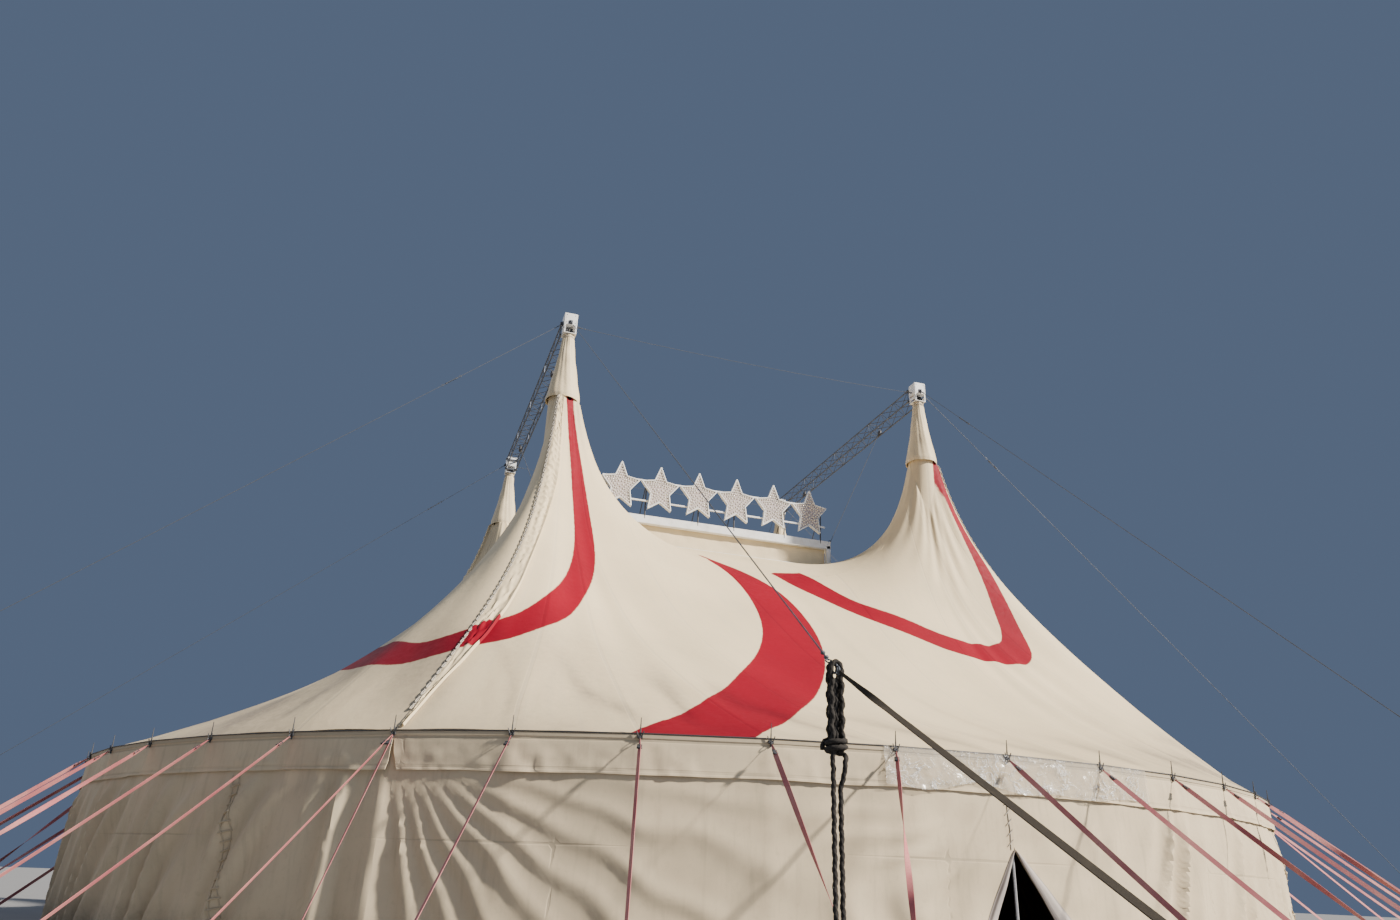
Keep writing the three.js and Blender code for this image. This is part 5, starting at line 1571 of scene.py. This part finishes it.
def add_trusses():
    """Two lattice beams: four chords, zigzag bars on each face, and an end frame at each head."""
    end = MAST - HEAD_SIZE / 2 - CLEARANCE
    step = 2 * (end - TRUSS_GAP) / TRUSS_BAYS
    for sign, name in ((-1, "left"), (1, "right")):
        truss = Builder()

        def at(chord, y, middle=sign * MAST):
            return middle + chord[0] * TRUSS_HALF, y, TRUSS_HEIGHT + chord[1] * TRUSS_HALF

        for chord in MASTS:
            add_tube(truss, [at(chord, -end), at(chord, end)], TRUSS_CHORD, sides=12)
        for face, (a, b) in enumerate(TRUSS_FACES):
            for i in range(TRUSS_BAYS):
                y0 = -end + TRUSS_GAP + step * i
                first, second = (a, b) if (i + face) % 2 else (b, a)
                zigzag = [at(first, y0 + 0.01), at(second, y0 + step - 0.01)]
                add_tube(truss, zigzag, TRUSS_BAR, sides=6)
                if i % 6 == 0:
                    add_tube(truss, [at(a, y0), at(b, y0)], TRUSS_BAR, sides=6)
        for side in (-1, 1):
            for chord in MASTS:
                add_box(truss, at(chord, side * (end - TRUSS_GAP)), (0.05, 0.05, 0.034), 0.006)
                sleeve = [at(chord, side * (end - reach)) for reach in (0.06, 0.012)]
                add_tube(truss, sleeve, TRUSS_SLEEVE, sides=12)
            for level in (-1, 1):
                add_box(truss, at((0, level), side * (end - 0.02)), (TRUSS_SIZE - 0.03, 0.02, 0.03), 0.004)
        truss.make(f"lattice_{name}", truss_steel, "galvanised_steel", [f"truss_{name}"])


# Mast heads
HEAD_WALL = 0.02
HEAD_LOW = HEAD_HEIGHT - HEAD_SIZE / 2
HEAD_TOP = HEAD_HEIGHT + HEAD_SIZE / 2
AXLE_HEIGHT = HEAD_LOW - 0.07
HEAD_LEG = 0.092
LID_BOLT = 0.075
FACE_BOLT = 0.07
BOLT_HEAD = 0.009
SHEAVE_RIM = 0.058
SHEAVE_GROOVE = 0.048


def add_heads():
    for (sx, sy), name in zip(MASTS, MAST_NAMES):
        mast = np.array([sx * MAST, sy * MAST, 0])
        head, dark = Builder(), Builder()
        add_head_box(head, mast)
        for cx, cy in MASTS:
            leg = mast + (cx * HEAD_LEG, cy * HEAD_LEG, (HEAD_FOOT + HEAD_LOW) / 2 + 0.004)
            add_box(head, leg, (0.026, 0.026, HEAD_LOW - HEAD_FOOT), 0.005)
            bolt = mast + (cx * LID_BOLT, cy * LID_BOLT, HEAD_TOP)
            add_tube(dark, [bolt - (0, 0, 0.004), bolt], BOLT_HEAD, sides=6)
            for side in (-1, 1):
                bolt = mast + (cx * FACE_BOLT, sy * HEAD_SIZE / 2, HEAD_HEIGHT + side * FACE_BOLT)
                add_tube(dark, [bolt - (0, sy * 0.006, 0), bolt], BOLT_HEAD, sides=6)
        axle = mast + (0, 0, AXLE_HEIGHT)
        add_tube(dark, [axle - (0.1, 0, 0), axle + (0.1, 0, 0)], 0.014, sides=12)
        for shift in (-0.035, 0.035):
            sheave = [axle + (shift + rim, 0, 0) for rim in (-0.016, -0.006, 0.006, 0.016)]
            add_tube(dark, sheave, [SHEAVE_RIM, SHEAVE_GROOVE, SHEAVE_GROOVE, SHEAVE_RIM], sides=24)
        for side in (-1, 1):
            add_box(head, axle + (side * 0.094, 0, 0), (0.02, HEAD_SIZE - 0.004, 0.044), 0.004)
        head.make(f"head_box_{name}", white_paint, "white_paint", [f"mast_head_{name}"])
        dark.make(f"head_sheaves_{name}", dark_steel, "dark_steel")


def add_head_box(head, mast):
    """Four walls, a lid, a floor, and the foot plate on the mast."""
    size, inside = HEAD_SIZE, HEAD_SIZE - HEAD_WALL
    for side in (-1, 1):
        add_box(head, mast + (side * inside / 2, 0, HEAD_HEIGHT), (HEAD_WALL, size, size), 0.005)
        cross_wall = (inside - HEAD_WALL, HEAD_WALL, size)
        add_box(head, mast + (0, side * inside / 2, HEAD_HEIGHT), cross_wall, 0.004)
    add_box(head, mast + (0, 0, HEAD_TOP - 0.012), (inside, inside, 0.02), 0.004)
    add_box(head, mast + (0, 0, HEAD_LOW + 0.01), (inside, inside, 0.016), 0.003)
    add_box(head, mast + (0, 0, HEAD_FOOT + 0.007), (size, size, 0.014), 0.004)


# Cupola
CUPOLA_LEG = 0.09
LOW_BEAM = CUPOLA_BASE - 0.035
LOW_BEAM_DEPTH = 0.09
HIGH_BEAM = CUPOLA_TOP - 0.075
HIGH_BEAM_DEPTH = 0.15
RIM = 0.02
CUPOLA_CANVAS = 0.004
WIRE = 0.0045


def add_cupola():
    add_cupola_beams()
    add_cupola_hoists()
    add_cupola_canvas()
    add_cupola_cover()


def add_cupola_beams():
    """Two square frames of beams on four legs, with a thin rim round the top."""
    beams = Builder()
    base = CUPOLA_HALF - CUPOLA_LEG / 2
    edge = CUPOLA_HALF - 0.012
    long = 2 * CUPOLA_HALF
    for side in (-1, 1):
        for z, deep in ((LOW_BEAM, LOW_BEAM_DEPTH), (HIGH_BEAM, HIGH_BEAM_DEPTH)):
            add_box(beams, (0, side * base, z), (long, CUPOLA_LEG, deep), 0.012)
            add_box(beams, (side * base, 0, z), (CUPOLA_LEG, long - 2 * CUPOLA_LEG, deep), 0.012)
        for corner in (-1, 1):
            place = (corner * base, side * base, (LOW_BEAM + HIGH_BEAM) / 2)
            add_box(beams, place, (CUPOLA_LEG, CUPOLA_LEG, HIGH_BEAM - LOW_BEAM), 0.014)
        add_box(beams, (0, side * edge, CUPOLA_TOP - RIM / 2), (long, RIM, RIM), 0.004)
        add_box(beams, (side * edge, 0, CUPOLA_TOP - RIM / 2), (RIM, long, RIM), 0.004)
    beams.make("cupola_beams", white_paint, "white_paint", ["cupola_frame"])


def add_cupola_hoists():
    """A wire from each truss to the cupola's corner, with an eye below and a block above."""
    hoists = Builder()
    for sx, sy in MASTS:
        foot = np.array([sx * (CUPOLA_HALF - 0.015), sy * (CUPOLA_HALF - 0.015), CUPOLA_TOP - 0.03])
        top = np.array([sx * MAST, sy * HOIST_PLACE, TRUSS_HEIGHT - TRUSS_SIZE / 2 - 0.01])
        add_tube(hoists, [foot, top], WIRE)
        add_ring(hoists, foot + (0, 0, 0.035), 0.022, 0.006, (sx, -sy, 0))
        add_box(hoists, top + (0, 0, -0.03), (0.05, 0.09, 0.10), 0.012)
        add_ring(hoists, top + (0, 0, 0.03), 0.02, 0.005, (0, 1, 0))
    hoists.make("cupola_hoists", dark_steel, "dark_steel")


def add_cupola_canvas():
    """The four stretched sides inside the beams."""
    skirt = Builder()
    half = CUPOLA_HALF - CUPOLA_LEG - 0.004
    height = CUPOLA_TOP - CUPOLA_BASE - 0.03
    u, v = np.meshgrid(np.linspace(-1, 1, 60), np.linspace(1, 0, 18))
    for q in range(4):
        sag = 0.01 * np.sin(math.pi * v) * (1 - u**2)
        drape = 0.004 * waves(u * 2, v, 60 + q, 0.5)
        drape = drape + 0.003 * np.cos(2 * math.pi * u * 9 + 2 * v) * np.sin(math.pi * v)
        grid = turned(stacked(u * half, -half + sag + drape * 0.8, CUPOLA_BASE + 0.01 + v * height), q)
        add_sheet(skirt, grid, CUPOLA_CANVAS, stacked(u * 2, v * 0.5), seam=np.ones(u.shape))
    piece = skirt.make("cupola_canvas", cap_canvas, "roof_canvas", ["cupola_skirt"])


def add_cupola_cover():
    """The low pyramid of canvas on top, with seams along its hips."""
    roof = Builder()
    line = np.linspace(-1, 1, 49)
    x, y = np.meshgrid(line, line[::-1])
    half = CUPOLA_HALF - CUPOLA_LEG + 0.015
    high = 1 - np.maximum(np.abs(x), np.abs(y)) ** 1.15
    z = CUPOLA_TOP + 0.004 + (CUPOLA_PEAK - CUPOLA_TOP - 0.01) * high
    z = z + 0.008 * waves(x * 2, y * 2, 66, 0.9) * smooth(high, 0.0, 0.2)
    hips = np.abs(np.abs(x) - np.abs(y)) * 1.4
    add_sheet(roof, stacked(x * half, y * half, z), CUPOLA_CANVAS, stacked(x * 2, y * 2), seam=hips)
    piece = roof.make("cupola_cover", cap_canvas, "roof_canvas", ["cupola_roof"])


# Sign: six plain stars edged with tube and studded with bulbs, on rails
SIGN_BACK = -CUPOLA_HALF - CLEARANCE
SIGN_MIDDLE = (SIGN_LEFT + SIGN_RIGHT) / 2
SIGN_LENGTH = SIGN_RIGHT - SIGN_LEFT - 0.06
HIGH_RAIL = SIGN_TOP - 0.28
LOW_RAIL = SIGN_BOTTOM + 0.15
STAR_POINTS = 10
BULB = 0.016
BULB_ROWS = [(0.76, 4), (0.5, 3), (0.25, 1)]


def star_outline(place, width, height, grown, depth):
    """The corners of a plain star that stands in front of the sign's back."""
    corner = np.arange(STAR_POINTS)
    angle = math.pi / 2 + corner * math.pi / 5
    reach = np.where(corner % 2, 0.5, 1)
    x = np.cos(angle) * reach * width / (2 * math.cos(math.pi / 10))
    z = (np.sin(angle) * reach - 0.095) * height / 1.81
    return place + stacked(x * grown, -depth, z * grown)


def add_star(faces, panels, bulbs, place, width, height):
    """A hollow star with a tube round its edge, a panel in its recess, and rows of bulbs."""
    near = star_outline(place, width, height, 0.97, 0.056)
    rim = star_outline(place, width, height, 1, 0.03)
    back = star_outline(place, width, height, 1, 0)
    recess = star_outline(place, width, height, 0.88, 0.040)
    hub = place + (0, -0.036, -0.04)
    loop, sheet = [], []
    for k in range(STAR_POINTS):
        n = (k + 1) % STAR_POINTS
        loop += [(k, 10 + k, 10 + n, n), (10 + k, 20 + k, 20 + n, 10 + n), (30 + k, k, n, 30 + n)]
        loop += [(30 + k, 30 + n, 40), (20 + n, 20 + k, 41)]
        sheet += [(k, n, 20), (k, 10 + k, 10 + n, n), (10 + n, 10 + k, 21)]
    faces.add(np.concatenate([near, rim, back, recess, [hub, hub + (0, 0.036, 0)]]), loop)
    plate = [recess - (0, 0.004, 0), recess - (0, 0.001, 0), [hub - (0, 0.008, 0), hub - (0, 0.005, 0)]]
    panels.add(np.concatenate(plate), sheet)
    for a, b in zip(near, np.roll(near, -1, axis=0)):
        add_tube(faces, [a, b], 0.012)
    for grown, count in BULB_ROWS:
        inner = star_outline(place, width, height, grown, 0.041)
        for a, b in zip(inner, np.roll(inner, -1, axis=0)):
            for t in np.arange(count) / count:
                add_bulb(bulbs, a + (b - a) * t)


def add_sign():
    faces, panels, bulbs, braces = Builder(), Builder(), Builder(), Builder()
    pitch = (SIGN_RIGHT - SIGN_LEFT) / SIGN_COUNT
    for i in range(SIGN_COUNT):
        place = np.array([SIGN_LEFT + pitch * (i + 0.5), SIGN_BACK, (SIGN_TOP + SIGN_BOTTOM) / 2])
        add_star(faces, panels, bulbs, place, pitch - 0.03, SIGN_TOP - SIGN_BOTTOM)
    for z in (LOW_RAIL, HIGH_RAIL):
        add_box(faces, (SIGN_MIDDLE, SIGN_BACK - 0.012, z), (SIGN_LENGTH, 0.024, 0.028), 0.005)
    for side in (-1, 1):
        for share in (0.16, 0.62, 0.96):
            x = SIGN_MIDDLE + side * (SIGN_LENGTH / 2) * share
            top = (x, SIGN_BACK - 0.004, HIGH_RAIL)
            add_tube(braces, [(x, SIGN_BACK + 0.01, CUPOLA_TOP - 0.06), top], 0.012)
            add_tube(braces, [(x, SIGN_BACK + 0.45, CUPOLA_TOP - 0.01), top], 0.008)
    faces.make("sign_stars", white_paint, "white_paint", ["sign"])
    panels.make("sign_panels", sign_face, "white_paint")
    bulbs.make("sign_bulbs", bulb_glass, "white_paint")
    braces.make("sign_braces", dark_steel, "dark_steel")


def add_bulb(builder, centre):
    """A bulb that bulges out of a star's face."""
    rings, sides = 4, 8
    points = [centre - (0, BULB * 1.4, 0)]
    for r in range(1, rings):
        tilt = math.pi / 2 * r / (rings - 1)
        wide, deep = BULB * math.sin(tilt), BULB * 1.4 * math.cos(tilt)
        for s in range(sides):
            angle = 2 * math.pi * s / sides
            points.append(centre + (wide * math.cos(angle), -deep, wide * math.sin(angle)))
    faces = [(1 + s, 1 + (s + 1) % sides, 0) for s in range(sides)]
    for r in range(rings - 2):
        for s in range(sides):
            a, b = 1 + r * sides + s, 1 + r * sides + (s + 1) % sides
            faces.append((a + sides, b + sides, b, a))
    faces.append(tuple(1 + (rings - 2) * sides + s for s in range(sides))[::-1])
    builder.add(np.array(points), faces)


# Guys and head cables
GUY_DROP = 0.06
GUY_START = HEAD_SIZE / 2 + 0.0083
ANCHOR_HEIGHT = 0.22
ANCHOR_SIZE = 0.044
FRONT_GUY_REACH = 10.16
SIDE_GUY_REACH = 10.8
JOINT_REACH = 9.64
JOINT_HEIGHT = 1.85
ANCHOR_REACH = 13.05
ANCHOR_STRAP = 0.048
BUCKLE_HALF = 0.16
LOW_BUCKLE = 0.62
WIRE_START = 0.075


def add_turnbuckle(builder, centre, along, length=0.2):
    """An open turnbuckle: two bars between end nuts, with a threaded eye at each end."""
    ahead, across, _ = basis(along).T
    for side in (-1, 1):
        bulge = ((-0.45, 0.010), (0, 0.014), (0.45, 0.010))
        bar = [centre + ahead * length * t + across * side * w for t, w in bulge]
        add_tube(builder, bar, WIRE)
        nut = centre + ahead * side * length * 0.45
        add_tube(builder, [nut - ahead * 0.014, nut + ahead * 0.014], 0.0135, sides=6)
        thread = centre + ahead * side * length * 0.2
        end = centre + ahead * side * length * 0.72
        add_tube(builder, [thread, end], 0.0055)
        add_ring(builder, end + ahead * side * 0.014, 0.014, 0.005, across, 16, 6)


def add_end(builder, place, along):
    """A wire's end: a shackle, a thimble and two clamps."""
    turn = basis(along)
    ahead, across, over = turn.T
    add_ring(builder, place + ahead * 0.02, 0.017, 0.005, across, 16, 6)
    add_ring(builder, place + ahead * 0.055, 0.020, 0.004, over, 16, 6)
    for step in (0.10, 0.15):
        add_box(builder, place + ahead * step, (0.016, 0.022, 0.018), 0.003, turn)


def guy_head(mast, out):
    """A guy's axis on its mast, its start on the head, and its direction in plan."""
    out = np.array([*out, 0.0])
    base = np.array([mast[0] * MAST, mast[1] * MAST, HEAD_HEIGHT - GUY_DROP])
    return base, base + out * GUY_START, out


def add_lug(builder, top, out):
    turn = basis(out)
    add_box(builder, top, (0.016, 0.06, 0.07), 0.004, turn)
    add_box(builder, top + out * 0.012, (0.024, 0.012, 0.05), 0.004, turn)


def add_anchor(builder, foot):
    add_box(builder, foot + (0, 0, ANCHOR_HEIGHT / 2), (ANCHOR_SIZE, ANCHOR_SIZE, ANCHOR_HEIGHT), 0.006)
    add_box(builder, foot + (0, 0, ANCHOR_HEIGHT - 0.008), (0.06, 0.06, 0.012), 0.004)


def add_plain_guy(name, mast, out, reach, buckle_place):
    """A wire guy with a turnbuckle near its head and another above its anchor."""
    base, top, out = guy_head(mast, out)
    foot = base * (1, 1, 0) + out * reach
    end = foot + (0, 0, ANCHOR_HEIGHT / 2)
    along = unit(end - top)
    guy = Builder()
    add_lug(guy, top, out)
    add_end(guy, top, along)
    buckle = top + along * buckle_place
    add_tube(guy, [top + along * WIRE_START, buckle - along * BUCKLE_HALF], WIRE)
    add_turnbuckle(guy, buckle, along)
    low = end - along * LOW_BUCKLE
    add_tube(guy, [buckle + along * BUCKLE_HALF, low - along * BUCKLE_HALF], WIRE)
    add_turnbuckle(guy, low, along)
    add_tube(guy, [low + along * BUCKLE_HALF, end], 0.007)
    add_anchor(guy, foot)
    guy.make(name.replace("guy", "wire"), wire_steel, "dark_steel", [name])


def add_strapped_guy(name, mast, out):
    """A wire guy that ends in a ring above the eave, with webbing from there to its anchor."""
    base, top, out = guy_head(mast, out)
    joint = base * (1, 1, 0) + out * JOINT_REACH + (0, 0, JOINT_HEIGHT)
    foot = base * (1, 1, 0) + out * ANCHOR_REACH
    end = foot + (0, 0, 0.06)
    along, down = unit(joint - top), unit(end - joint)
    guy = Builder()
    add_lug(guy, top, out)
    add_end(guy, top, along)
    add_tube(guy, [top + along * WIRE_START, joint - along * 0.09], WIRE)
    add_end(guy, joint - along * 0.02, -along)
    add_ring(guy, joint, 0.024, 0.006, np.cross(along, (0, 0, 1)), 18, 8)
    add_ring(guy, joint + down * 0.035, 0.020, 0.005, np.cross(down, (0, 0, 1)), 18, 8)
    add_anchor(guy, foot)
    guy.make(name.replace("guy", "wire"), wire_steel, "dark_steel", [name])
    share = np.linspace(0, 1, 60)
    start = joint + down * 0.05
    line = start + (end - start) * share[:, None]
    twist = 0.5 * math.pi * (1 - smooth(share, 0.02, 0.16))
    half = 0.009 + (ANCHOR_STRAP / 2 - 0.009) * smooth(share, 0.0, 0.2)
    strap = Builder()
    strap.add(*webbing_strip(line, down, twist, half, 0.002, 3.9))
    strap.make(name.replace("guy", "strap"), brown_webbing, "strap_webbing")


def add_guys():
    add_strapped_guy("mast_guy_front_left", (-1, -1), (0, -1))
    add_strapped_guy("mast_guy_rear_right", (1, 1), (0, 1))
    add_plain_guy("mast_guy_front_right", (1, -1), (0, -1), FRONT_GUY_REACH, 1.75)
    add_plain_guy("mast_guy_rear_left", (-1, 1), (0, 1), FRONT_GUY_REACH, 1.75)
    add_plain_guy("side_guy_front_left", (-1, -1), (-1, 0), SIDE_GUY_REACH, 2.12)
    add_plain_guy("side_guy_rear_right", (1, 1), (1, 0), SIDE_GUY_REACH, 2.12)
    add_plain_guy("side_guy_front_right", (1, -1), (1, 0), SIDE_GUY_REACH, 1.8)
    add_plain_guy("side_guy_rear_left", (-1, 1), (-1, 0), SIDE_GUY_REACH, 1.8)


def add_head_cables():
    end = MAST - HEAD_SIZE / 2 - CLEARANCE
    share = np.linspace(0, 1, 40)
    for y, name in ((-MAST, "front"), (MAST, "rear")):
        line = stacked(-end + 2 * end * share, y, HEAD_HEIGHT - 0.07 - 0.24 * share * (1 - share))
        cable = Builder()
        add_tube(cable, line, 0.0035)
        add_end(cable, line[0], line[1] - line[0])
        add_end(cable, line[-1], line[-2] - line[-1])
        cable.make(f"head_wire_{name}", wire_steel, "dark_steel", [f"head_cable_{name}"])


# Carried-over nodes
def dress(node, material):
    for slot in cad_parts[node].material_slots:
        slot.material = material


def dress_nodes():
    for name in MAST_NAMES:
        dress(f"mast_{name}", steel)
    for side in SIDES:
        dress(f"side_poles_{side}", pole_steel)


add_camera()
add_stage()
add_hank()
add_canopies()
add_middle()
add_walls()
add_wall_joints()
add_valances()
add_foil()
add_door()
add_straps()
add_caps()
add_seams()
add_trusses()
add_heads()
add_cupola()
add_sign()
add_guys()
add_head_cables()
dress_nodes()
